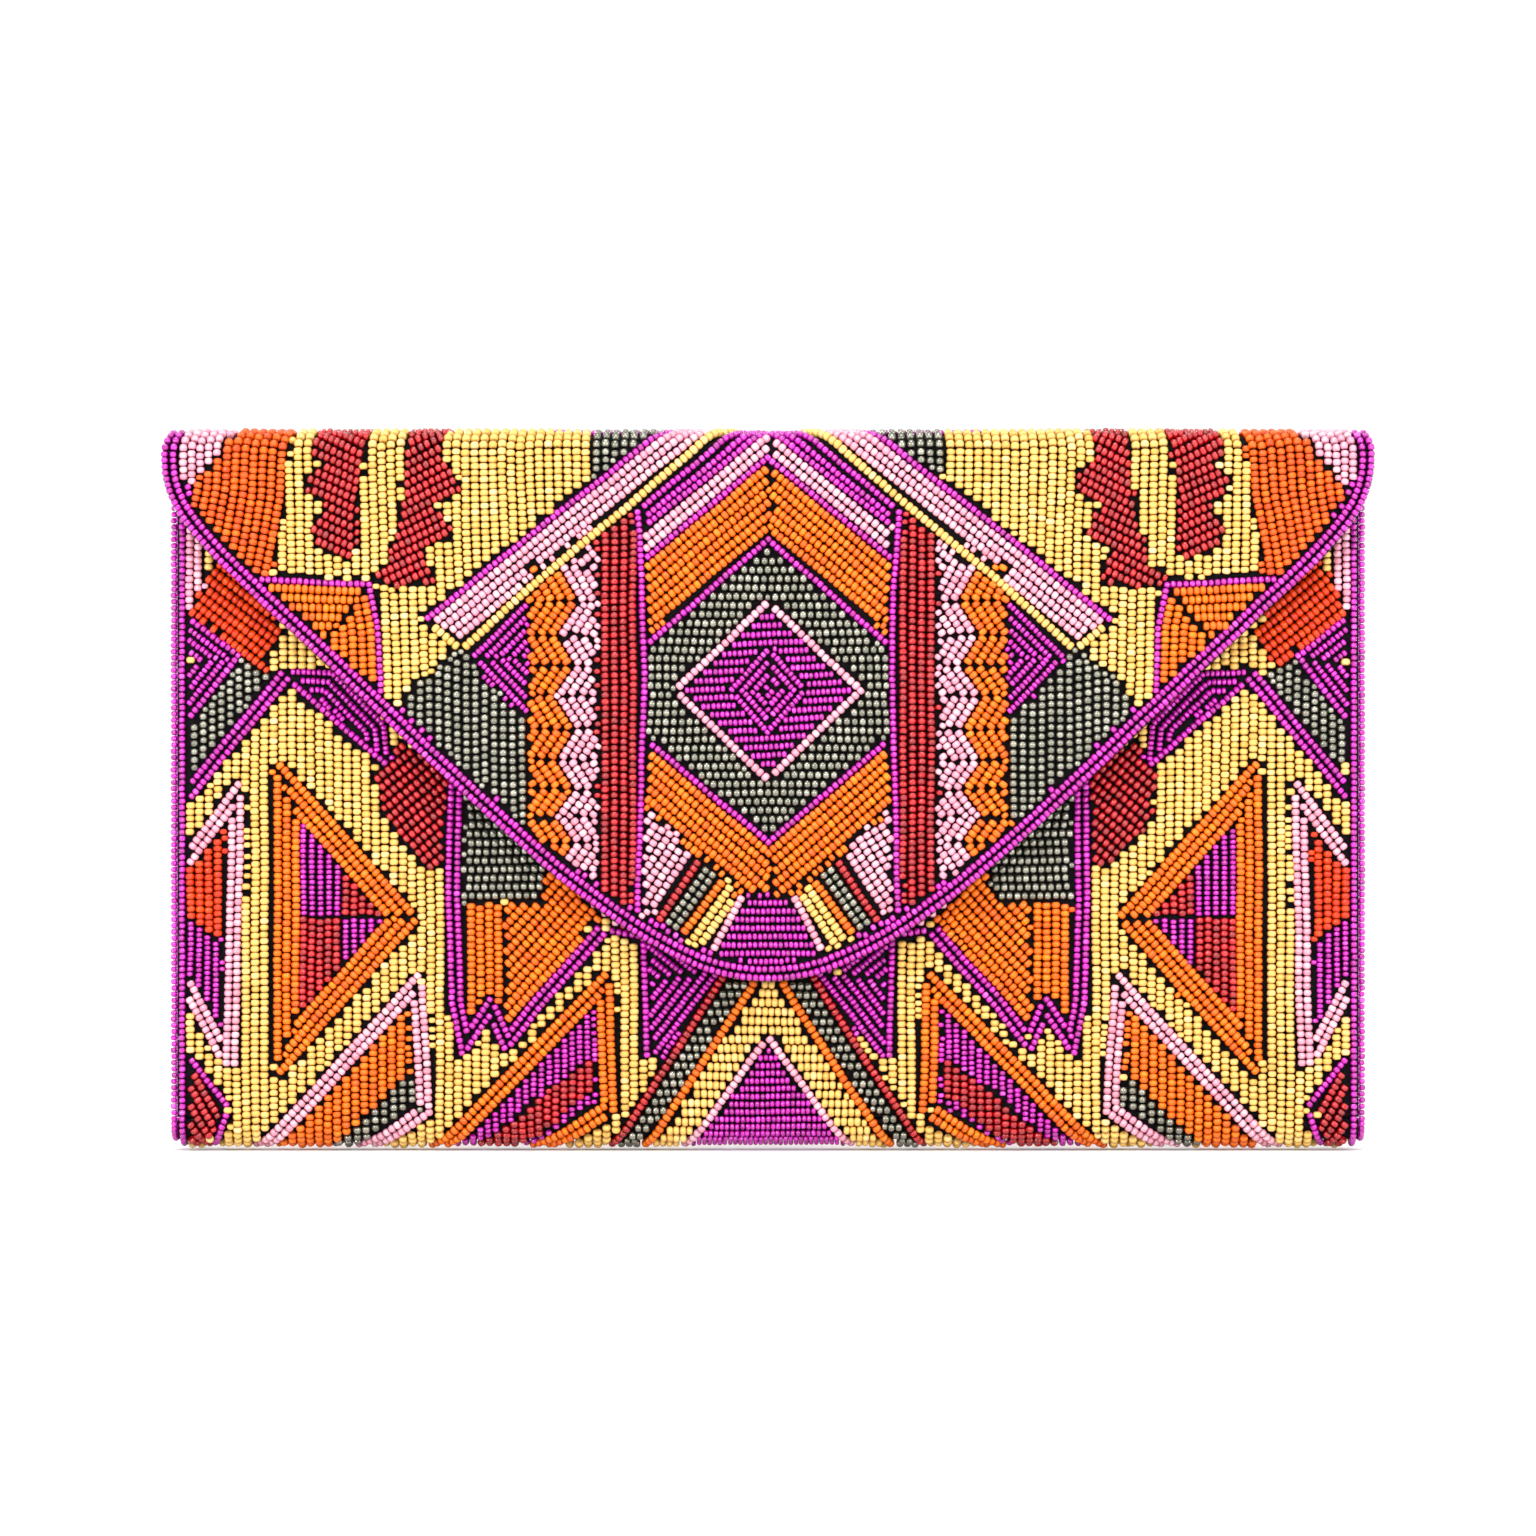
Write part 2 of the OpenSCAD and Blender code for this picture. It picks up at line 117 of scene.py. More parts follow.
# bottom fold
MID_Y = (BACK_Y + FRONT_Y) / 2
BOTTOM_R = (BACK_Y - FRONT_Y) / 2       # outer radius of the cloth
BOTTOM_LAY_R = BOTTOM_R + 1.04
BOTTOM_LINE = BOTTOM_Z - BOTTOM_LAY_R * math.pi / 2   # lowest line, along the cloth

# the bodies on either side of each top fold and its ends: from, to, start point, end point
FRONT_FOLD = ("spine", "flap", (0, FRONT_ARC_Y / MM, TOP_Z / MM), (0, FLAP_Y / MM, FOLD_Z / MM))
REAR_FOLD = ("back", "spine", (0, BACK_Y / MM, FOLD_Z / MM), (0, REAR_ARC_Y / MM, TOP_Z / MM))

# ------------------------------------------------------------------ lines in the plane


def bezier(points, count):
    t = np.linspace(0, 1, count)[:, None]
    p = np.array(points, float)
    s = 1 - t
    return s**3 * p[0] + 3 * s * s * t * p[1] + 3 * s * t * t * p[2] + t**3 * p[3]


def flap_edge(upper_count):
    """Right half of the flap's edge, from the fold to the tip."""
    upper = bezier([[FLAP_W, FOLD_Z], [FLAP_W + 0.6, 149.6], [134.2, 142.2], [118.2, 127.4]],
                   upper_count)
    lower = bezier([[118.2, 127.4], [64.4, 77.5], [31, TIP_Z], [0, TIP_Z]], 60)
    return np.vstack([upper, lower[1:]])


def offset(points, distance, closed=False):
    """The polyline moved to its left, with mitred corners."""
    p = np.array(points, float)
    if closed:
        before, after = np.roll(p, 1, 0), np.roll(p, -1, 0)
    else:
        before = np.vstack([2 * p[0] - p[1], p[:-1]])
        after = np.vstack([p[1:], 2 * p[-1] - p[-2]])
    a, b = p - before, after - p
    a /= np.maximum(np.linalg.norm(a, axis=1), 1e-9)[:, None]
    b /= np.maximum(np.linalg.norm(b, axis=1), 1e-9)[:, None]
    normal_a, normal_b = np.c_[-a[:, 1], a[:, 0]], np.c_[-b[:, 1], b[:, 0]]
    mitre = normal_a + normal_b
    scale = np.maximum((mitre * normal_a).sum(1), 0.13)     # limits the mitre of sharp corners
    return p + mitre / scale[:, None] * distance


def walk(points, pitch, closed=False, start=0.5):
    """Evenly spaced places along a polyline, and its direction at each."""
    p = np.array(points, float)
    if closed:
        p = np.vstack([p, p[:1]])
    legs = np.diff(p, axis=0)
    lengths = np.hypot(legs[:, 0], legs[:, 1])
    reached = np.r_[0, np.cumsum(lengths)]
    total = reached[-1]
    count = max(1, int(round(total / pitch)) if closed else int(total / pitch + 0.25))
    s = (np.arange(count) + start) * (total / count)
    k = np.clip(np.searchsorted(reached, s, side="right") - 1, 0, len(legs) - 1)
    part = (s - reached[k]) / np.maximum(lengths[k], 1e-9)
    return p[k] + legs[k] * part[:, None], np.arctan2(legs[k, 1], legs[k, 0])


def inside(outline, places):
    outline = np.asarray(outline, float)
    x, y = places[:, 0][:, None], places[:, 1][:, None]
    x0, y0 = outline[:, 0], outline[:, 1]
    x1, y1 = np.roll(x0, -1), np.roll(y0, -1)
    crosses = (y0 > y) != (y1 > y)
    with np.errstate(divide="ignore", invalid="ignore"):
        xi = (x1 - x0) * (y - y0) / (y1 - y0) + x0
    return ((crosses & (x < xi)).sum(1) % 2) == 1


def on_half(points, half):
    """Points drawn on the right half, kept there (1) or mirrored to the left (-1)."""
    return [(half * x, z) for x, z in points]


def halves(mirror):
    return (1, -1) if mirror else (1,)


def full(points):
    """A closed outline from its right half, listed from centre line to centre line."""
    return list(points) + [(-x, z) for x, z in points[::-1] if abs(x) > 1e-9]


def both_sides(right):
    """A right-hand line ending on the centre line, continued up its mirror image."""
    return np.vstack([right, right[::-1][1:] * [-1, 1]])


# ------------------------------------------------------------------ laying beads in the plane


class Kind(NamedTuple):
    diameter: float
    length: float
    pitch: float        # along the row
    spacing: float      # between rows
    colour: str
    alt: float          # share of the second shade


KINDS = {
    "cream": Kind(2.16, 1.56, 1.53, 2.14, "cream", 0),
    "orange": Kind(2.12, 1.54, 1.51, 2.10, "orange", 0),
    "vermilion": Kind(2.12, 1.54, 1.51, 2.10, "orange", 1),
    "dark_orange": Kind(2.12, 1.54, 1.51, 2.10, "orange", 0.5),
    "pink": Kind(1.98, 1.62, 1.60, 1.97, "pink", 0),
    "red": Kind(2.04, 1.50, 1.53, 2.13, "red", 0),
    "pewter": Kind(2.00, 1.66, 1.80, 2.06, "pewter", 0),
    "magenta": Kind(1.74, 1.40, 1.44, 2.03, "magenta", 0),
    "fine": Kind(1.62, 1.14, 1.18, 2.03, "magenta", 0),
}
COLOURS = ("cream", "orange", "pink", "red", "pewter", "magenta")

CELL = 2.4              # size of the squares in which neighbours are looked up
TOUCH2 = 4.9            # beads with a larger squared distance never touch
FILL_GRID = 0.3
FILL_HALF = 0.72        # half size of a bead that would go into a gap
FILL_LIMIT = 6000


class Bead(NamedTuple):
    x: float
    z: float
    angle: float
    kind: str
    scale: float
    half_length: float
    half_diameter: float
    cos: float
    sin: float
    threaded: bool      # part of a threaded line rather than of a field

    def reach(self, along):
        """Half size in a direction whose cosine to the bead's axis is given."""
        return math.sqrt((self.half_length * along) ** 2
                         + self.half_diameter * self.half_diameter * (1 - along * along))


def make_bead(x, z, angle, kind, scale, threaded=False):
    size = KINDS[kind]
    return Bead(x, z, angle, kind, scale, size.length * scale / 2, size.diameter * scale / 2,
                math.cos(angle), math.sin(angle), threaded)


def cell_of(x, z):
    return int(x // CELL), int(z // CELL)


class Field:
    """Beads laid on one panel: threaded lines first, then the fields between them.

    clip tells which places are allowed; warp turns drawn heights into heights along the cloth.
    close is the share of the touching distance that two beads must keep.
    """

    def __init__(self, seed, clip, warp=lambda z: z):
        self.rng = np.random.default_rng(seed)
        self.clip = clip
        self.warp = warp
        self.beads = []
        self.cells = {}

    def note(self, bead):
        self.cells.setdefault(cell_of(bead.x, bead.z), []).append(bead)

    def put(self, bead):
        self.beads.append(bead)
        self.note(bead)

    def borrow(self, other, z0, z1, widen=1):
        """Heeds another panel's beads across a fold; gap filling takes them for cream."""
        for bead in other.beads:
            if z0 < bead.z < z1:
                self.note(bead._replace(x=bead.x * widen, kind="cream", threaded=False))

    def near(self, x, z, reach):
        i, j = cell_of(x, z)
        for a in range(i - reach, i + reach + 1):
            for c in range(j - reach, j + reach + 1):
                yield from self.cells.get((a, c), ())

    def fits(self, new, close):
        for old in self.near(new.x, new.z, 1):
            dx, dz = new.x - old.x, new.z - old.z
            distance2 = dx * dx + dz * dz
            if distance2 > TOUCH2:
                continue
            distance = math.sqrt(distance2) + 1e-9
            dx, dz = dx / distance, dz / distance
            new_reach = new.reach(dx * new.cos + dz * new.sin)
            old_reach = old.reach(dx * old.cos + dz * old.sin)
            if distance < close * (new_reach + old_reach):
                return False
        return True

    def lay(self, places, angles, kind, close, threaded=False):
        """Lays beads with a little unevenness wherever they are allowed and fit."""
        if not len(places):
            return
        keep = self.clip(places)
        places, angles = places[keep], angles[keep]
        count = len(places)
        shift = self.rng.normal(0, 0.035, (count, 2))
        turn = self.rng.normal(0, 0.035, count)
        scale = 1 + self.rng.normal(0, 0.02, count)
        for i in range(count):
            bead = make_bead(places[i, 0] + shift[i, 0], places[i, 1] + shift[i, 1],
                             angles[i] + turn[i], kind, scale[i], threaded)
            if self.fits(bead, close):
                self.put(bead)

    def bend(self, points):
        return [(x, self.warp(z)) for x, z in points]

    def thread(self, kind, points, offsets=(0,), mirror=True, closed=False):
        """Threaded lines along a polyline, at offsets to its left."""
        points = self.bend(points)
        for half in halves(mirror):
            for shift in offsets:
                line = offset(on_half(points, half), shift * half, closed)
                places, angles = walk(line, KINDS[kind].pitch, closed)
                self.lay(places, angles, kind, 0.86, threaded=True)

    def rows(self, kind, outline, angle=90, anchor=(0, 0), mirror=True, close=0.86,
             spacing=None, shift=0.5, hole=None):
        """Parallel rows at an angle in degrees; one gap between rows starts at the anchor."""
        outline = self.bend(outline)
        spacing = spacing or KINDS[kind].spacing
        for half in halves(mirror):
            shape = np.array(on_half(outline, half), float)
            turn = math.radians(angle if half > 0 else 180 - angle)
            c, s = math.cos(turn), math.sin(turn)
            u, v = shape[:, 0] * c + shape[:, 1] * s, -shape[:, 0] * s + shape[:, 1] * c
            u1, v1 = np.roll(u, -1), np.roll(v, -1)
            origin = -half * anchor[0] * s + anchor[1] * c
            first = math.floor((v.min() - origin) / spacing) - 1
            last = math.ceil((v.max() - origin) / spacing) + 1
            for r in range(first, last + 1):
                y = origin + (r + shift) * spacing
                cut = (v > y) != (v1 > y)
                if not cut.any():
                    continue
                ends = np.sort(u[cut] + (y - v[cut]) * (u1 - u)[cut] / (v1 - v)[cut])
                for start, end in zip(ends[::2], ends[1::2]):
                    length = end - start
                    if length < 0.6 * KINDS[kind].length:
                        continue
                    pitch = KINDS[kind].pitch * (1 + self.rng.normal(0, 0.008))
                    count = max(1, int((length - 0.1) / pitch + 0.2))
                    slack = length - count * pitch
                    t = (start + slack * self.rng.uniform(0.3, 0.7)
                         + (np.arange(count) + 0.5) * pitch)
                    places = np.c_[t * c - y * s, t * s + y * c]
                    if hole is not None:
                        places = places[~inside(hole, places)]
                    self.lay(places, np.full(len(places), turn), kind, close)

    def follow(self, kind, outline, guide, side=1, gap=0.75, rows=30, mirror=True, close=0.82,
               first=0):
        """Rows that follow a guide line, going to its left (side 1) or right (side -1)."""
        outline, guide = self.bend(outline), self.bend(guide)
        for half in halves(mirror):
            shape, line = on_half(outline, half), on_half(guide, half)
            for r in range(first, rows):
                row = offset(line, half * side * (gap + (r + 0.5) * KINDS[kind].spacing))
                places, angles = walk(row, KINDS[kind].pitch,
                                      start=0.5 + self.rng.uniform(-0.2, 0.2))
                keep = inside(shape, places)
                self.lay(places[keep], angles[keep], kind, close)

    def rings(self, kind, outline, count=1, mirror=True):
        """Closed rings, going inwards from an outline that runs anticlockwise."""
        outline = self.bend(outline)
        for half in halves(mirror):
            shape = on_half(outline, half)[::half]
            for r in range(count):
                ring = offset(shape, (r + 0.5) * KINDS[kind].spacing, True)
                places, angles = walk(ring, KINDS[kind].pitch, True)
                keep = inside(shape, places)
                self.lay(places[keep], angles[keep], kind, 0.86, threaded=count < 3)

    def fill_gaps(self, half_width, z0, z1):
        """Fills the small bare spots that are left with the neighbouring kind."""
        x0, step = -half_width, FILL_GRID
        nx, nz = int(2 * half_width / step) + 1, int((z1 - z0) / step) + 1
        grid_x, grid_z = x0 + np.arange(nx) * step, z0 + np.arange(nz) * step
        taken = np.zeros((nx, nz), bool)

        def stamp(bead):
            a, b = bead.half_length + FILL_HALF, bead.half_diameter + FILL_HALF
            w = max(a, b)
            i0 = max(0, int((bead.x - w - x0) / step))
            i1 = min(nx, int((bead.x + w - x0) / step) + 2)
            j0 = max(0, int((bead.z - w - z0) / step))
            j1 = min(nz, int((bead.z + w - z0) / step) + 2)
            if i0 >= i1 or j0 >= j1:
                return
            dx = grid_x[i0:i1][:, None] - bead.x
            dz = grid_z[j0:j1][None, :] - bead.z
            u, v = dx * bead.cos + dz * bead.sin, -dx * bead.sin + dz * bead.cos
            taken[i0:i1, j0:j1] |= (u / a) ** 2 + (v / b) ** 2 < 1

        for bead in self.beads:
            stamp(bead)
        columns, levels = np.nonzero(~taken)
        places = np.c_[grid_x[columns], grid_z[levels]]
        allowed = self.clip(places)
        columns, levels, places = columns[allowed], levels[allowed], places[allowed]
        added = 0
        for o in self.rng.permutation(len(places)):
            i, j = columns[o], levels[o]
            if taken[i, j]:
                continue
            x, z = places[o]
            best, best2 = None, 1e9
            for bead in self.near(x, z, 2):
                distance2 = (bead.x - x) ** 2 + (bead.z - z) ** 2
                if bead.threaded:           # field beads are preferred as the model
                    distance2 *= 4.0
                if distance2 < best2:
                    best, best2 = bead, distance2
            if best is None or best2 > 16:
                taken[i, j] = True
                continue
            scale = 0.96 if KINDS[best.kind].colour == "magenta" else 0.84
            filler = make_bead(x, z, math.atan2(best.sin, best.cos), best.kind, scale)
            self.put(filler)
            stamp(filler)
            added += 1
            if added > FILL_LIMIT:
                break


# ------------------------------------------------------------------ the patterns
# Outlines and lines are lists of (x, z) on the right half; the left half is their mirror image.


def rows_to_teeth(field, kind, teeth, x_far, side):
    """Rows that follow each leg of a zigzag, out to the line x = x_far (side 1: to its right)."""
    for a, b in zip(teeth[:-1], teeth[1:]):
        angle = math.degrees(math.atan2(b[1] - a[1], b[0] - a[0]))
        turn = math.radians(angle)
        nx, nz = -math.sin(turn), math.cos(turn)
        sign = 1 if (nx > 0) == (side > 0) else -1
        anchor = (a[0] + nx * sign * 0.05, a[1] + nz * sign * 0.05)
        field.rows(kind, [a, b, (x_far, b[1]), (x_far, a[1])], angle, anchor, close=0.82)


def flap_lines(field):
    """Two threaded rows along the flap's edge."""
    right = np.vstack([[[FLAP_W, PATTERN_TOP], [FLAP_W, FOLD_Z + 4]], flap_edge(24)])
    for inset in (0.85, 2.85):
        places, angles = walk(offset(both_sides(right), -inset), KINDS["magenta"].pitch)
        field.lay(places, angles, "magenta", 0.8)


def flap_pattern(field):
    thread, rows, follow, rings = field.thread, field.rows, field.follow, field.rings
    mid = 106.3                         # height of the diamond's centre
    # threaded lines
    thread("magenta", [(30.2, 148.2), (29, 131), (28.6, 110), (29.4, 79), (30.2, 52)])
    thread("magenta", [(1.6, 169.8), (30.2, 147.6)])
    thread("magenta", [(0.6, 168.0), (29.3, 145.6)])
    thread("magenta", [(0.3, 166.3), (29.2, 143.8)])
    thread("magenta", [(28.4, 136.8), (0, 160), (-28.4, 136.8)], mirror=False)
    thread("magenta", [(27.6, 117), (0, 141.1), (-27.6, 117)], mirror=False)
    thread("cream", [(6.2, 169.9), (29.5, 151.2), (52, 132.7), (70.8, 115.6), (77.4, 121.0)])
    thread("magenta", [(17.5, 170), (52, 144.4), (79.2, 122.4)])
    thread("magenta", [(117.4, 131.9), (92, 130.8), (90, 121), (89.4, 104)])
    thread("magenta", [(24, 169.2), (36, 168.2), (50, 166.6)])
    rings("pink", [(0, 128), (-22.9, mid), (0, 84.3), (22.9, mid)], mirror=False)
    thread("magenta", [(28.2, 95.2), (0, 71.2), (-28.2, 95.2)], mirror=False)
    thread("red", [(16.0, 67.0), (25.4, 53.0)])
    thread("pewter", [(13.2, 64.9), (22.6, 51.6)], (0.98, -0.98))
    thread("orange", [(10.6, 62.3), (19.6, 50.2)])
    thread("pink", [(5.9, 59.0), (12.6, 46.4)])
    # roof over the diamond
    roof = [(-34, 132.2), (0, 160), (34, 132.2)]
    follow("orange", full([(0, 159.4), (28.6, 136), (28.2, 117.6), (0, 141.7)]), roof,
           side=-1, gap=0.85, rows=7, mirror=False)
    follow("pink", full([(0, 166), (29.2, 143.0), (28.6, 136.8), (0, 160.4)]), roof,
           gap=0.8, rows=3, mirror=False)
    # diamond and the fields round it
    for r in (8.6, 6.0, 3.4, 1.0):
        thread("fine", [(0, mid + r * 1.1), (-r, mid), (0, mid - r * 1.1), (r, mid)],
               mirror=False, closed=True)
    rows("fine", [(0, 126.2), (-20.8, mid), (0, 86.2), (20.8, mid)], 3, (0, mid),
         mirror=False, spacing=1.99, hole=[(0, 116.6), (-9.4, mid), (0, 96.0), (9.4, mid)])
    rows("pewter", full([(0, 139.6), (27.8, 116), (28.6, 96.6), (0, 72.9)]), 0, (0, mid),
         mirror=False, hole=[(0, 129), (-23.9, mid), (0, 83.4), (23.9, mid)])
    follow("orange", full([(0, 70.6), (28.8, 94.8), (29, 80), (16, 68.4), (12.4, 66.3),
                           (5.4, 60), (0, 59.8)]),
           [(-33, 99.2), (0, 71.2), (33, 99.2)], side=-1, gap=0.85, rows=6, mirror=False)
    rows("red", [(30.4, 150), (39.4, 143.3), (39.4, 56), (30.4, 50)], anchor=(30.10, 0),
         close=0.76)
    follow("pink", [(29, 79.5), (15.6, 67.6), (25.6, 52.4), (29.8, 54)],
           [(14.2, 70.2), (24.6, 54.6)], gap=-0.2, rows=9)
    rows("cream", [(8.6, 61.6), (10.6, 60.4), (19.0, 48.8), (13.4, 46.6), (6.8, 59.2)],
         125, (10.6, 62.3), shift=0.95)
    rows("fine", full([(0, 59.4), (4.9, 59.2), (11.8, 45.8), (0, 42.6)]), 0, (0, 58.4),
         spacing=1.96, mirror=False)
    # toothed band
    teeth = [(48.6, 135.4), (43.7, 126.8), (48.8, 119), (44.4, 112), (49.4, 105), (44.5, 97.4),
             (49.2, 90.2), (44.6, 83.5), (49.2, 77.4), (44.6, 71.2), (49.4, 64.4), (45, 58)]
    rows_to_teeth(field, "orange", teeth, 55.1, 1)
    rows_to_teeth(field, "pink", [(43.0, 139.6)] + teeth, 39.8, -1)
    rows("orange", [(49.0, 132.6), (54.8, 127.6), (55.0, 124), (48.6, 128)], -42, (49, 133.0))
    rows("pink", [(39.8, 143), (41.4, 141.6), (48.4, 135.6), (39.8, 139)], -40, (40, 143.4))
    # wedges and bands beside it
    follow("fine", [(68.4, 114.3), (55.2, 126.8), (55.2, 100.4)],
           [(54.6, 127.2), (67.8, 114.3), (54.6, 100.4)], side=-1, gap=-1.0, rows=7)
    rows("pewter", [(69.2, 115.0), (77, 111), (82, 107.5), (83.3, 101), (57, 76), (55.3, 76),
                    (55.3, 99.6), (62.4, 105), (66.6, 110.2)], spacing=2.14)
    rows("pewter", [(19, 170), (41.4, 170), (41.4, 165), (41.2, 153), (38, 155.6)], spacing=2.14)
    follow("pink", [(17.5, 170), (52, 144.6), (79.4, 122.0), (70.8, 115.2), (52, 132.5),
                    (29.5, 151), (6.2, 170)],
           [(17.5, 170), (52, 144.4), (79.2, 122.4)], side=-1, rows=6)
    follow("orange", [(116.6, 131.2), (92.6, 130.2), (90.8, 121), (90.0, 104), (93, 106)],
           [(119.4, 132.0), (91.8, 130.9), (89.9, 121), (89.3, 102)], rows=9, close=0.78)
    # outer corners
    follow("dark_orange", [(110.6, 170), (122, 170), (125, 162.5), (133.4, 152.2), (128, 143.4),
                           (117.6, 131.6), (115.8, 132.2), (112, 151)],
           [(110.3, 172), (111.6, 151), (115.4, 131)], gap=0, rows=14)
    rows("pink", [(122.4, 170), (137.2, 170), (137, 157), (133.8, 152.8), (125.6, 162)],
         anchor=(126.2, 0), spacing=1.93)
    # two jagged red shapes
    rows("red", [(91.5, 170), (103.6, 170), (106, 162), (102, 158.5), (107.8, 154.5),
                 (101, 149), (105.6, 143.5), (103, 138.3), (97.5, 136), (95.6, 137),
                 (95.6, 146), (94.2, 155)], 24, (97, 150), spacing=2.02)
    rows("red", [(73.7, 170), (83.8, 170), (83.9, 154), (85, 146), (86.4, 139), (88, 135.5),
                 (91, 132), (85.2, 129.4), (78, 131.5), (77.6, 135.4), (79.4, 138.4),
                 (73.2, 142.3), (75, 147), (78, 149), (72, 152.4), (72.2, 156.8),
                 (75.8, 160.6)], -26, (80, 150), spacing=2.02)
    # the ground between everything
    rows("cream", [(41.4, 170), (112, 170), (113.6, 150), (117, 132), (92, 131), (89.6, 121),
                   (88.6, 101), (83.6, 100), (82.2, 108), (77, 111.8), (70.8, 116),
                   (78.6, 121.8), (52, 145.4), (41.6, 152.8)], 88.5, (60, 150))


def pocket_lines(field):
    thread = field.thread
    thread("magenta", [(111.6, 110.2), (134.8, 82.0)], (1.0, -1.0))
    thread("magenta", [(112.3, 110.0), (88.2, 89.0)])
    thread("magenta", [(134.9, 123.8), (122.6, 114.4), (134.9, 98.8)])
    thread("pink", [(134.8, 66.6), (123.0, 82.4), (123.8, 49.5), (124.4, 19.4)], (0.95, -0.95))
    thread("pink", [(134.8, 38.6), (125.2, 20.5)], (0.95, -0.95))
    thread("magenta", [(134.8, 22.4), (125.0, 10.0), (129.0, 0.2)])
    thread("pink", [(118.6, 0.2), (81.2, 38.8), (79.4, 9.2), (95, 0.2)], (1.0, -0.95))
    thread("magenta", [(72.4, 92), (73, 58), (72.2, 34), (70.2, 24.4), (64.4, 33.2),
                       (60.4, 24.8), (53.2, 34), (38.2, 51.0)], (1.0, -1.0))
    thread("magenta", [(38.2, 51), (29.2, 49.6)])
    thread("orange", [(77.6, 0.2), (37.9, 38.8), (36.9, 9.5), (54.5, 0.2)], (1.05, -1.05))
    thread("magenta", [(28.9, 54), (28.1, 21.2)])
    thread("red", [(8.6, 42.8), (10.6, 39.8), (37.4, 0.2)])
    thread("orange", [(2.6, 40.4), (4.3, 37.0), (29.6, 0.2)])
    thread("pink", [(20.4, 0.2), (0, 26.2), (-20.4, 0.2)], mirror=False)


def under_flap(field):
    """The part of the front panel that the closed flap covers."""
    thread, rows, rings = field.thread, field.rows, field.rings
    rings("orange", [(0, 146), (-36, 112), (0, 78), (36, 112)], 2, mirror=False)
    rings("pink", [(0, 140.2), (-29.9, 112), (0, 83.8), (29.9, 112)], mirror=False)
    rows("magenta", [(0, 138.4), (-28.0, 112), (0, 85.6), (28.0, 112)], 0, (0, 112),
         mirror=False)
    thread("magenta", [(72.4, 92), (60, 126), (66, 150)], (1.0, -1.0))
    rows("pewter", [(71, 94), (60, 126), (40.5, 112), (50, 90)], spacing=2.14)
    rows("red", [(74.6, 96), (84, 96), (98, 132), (70, 132)], spacing=1.93)
    rows("orange", [(62.5, 128), (68, 148), (104, 148), (98.4, 134), (68, 134)])
    rows("pink", [(106, 148), (101, 133), (120, 133), (128, 148)])


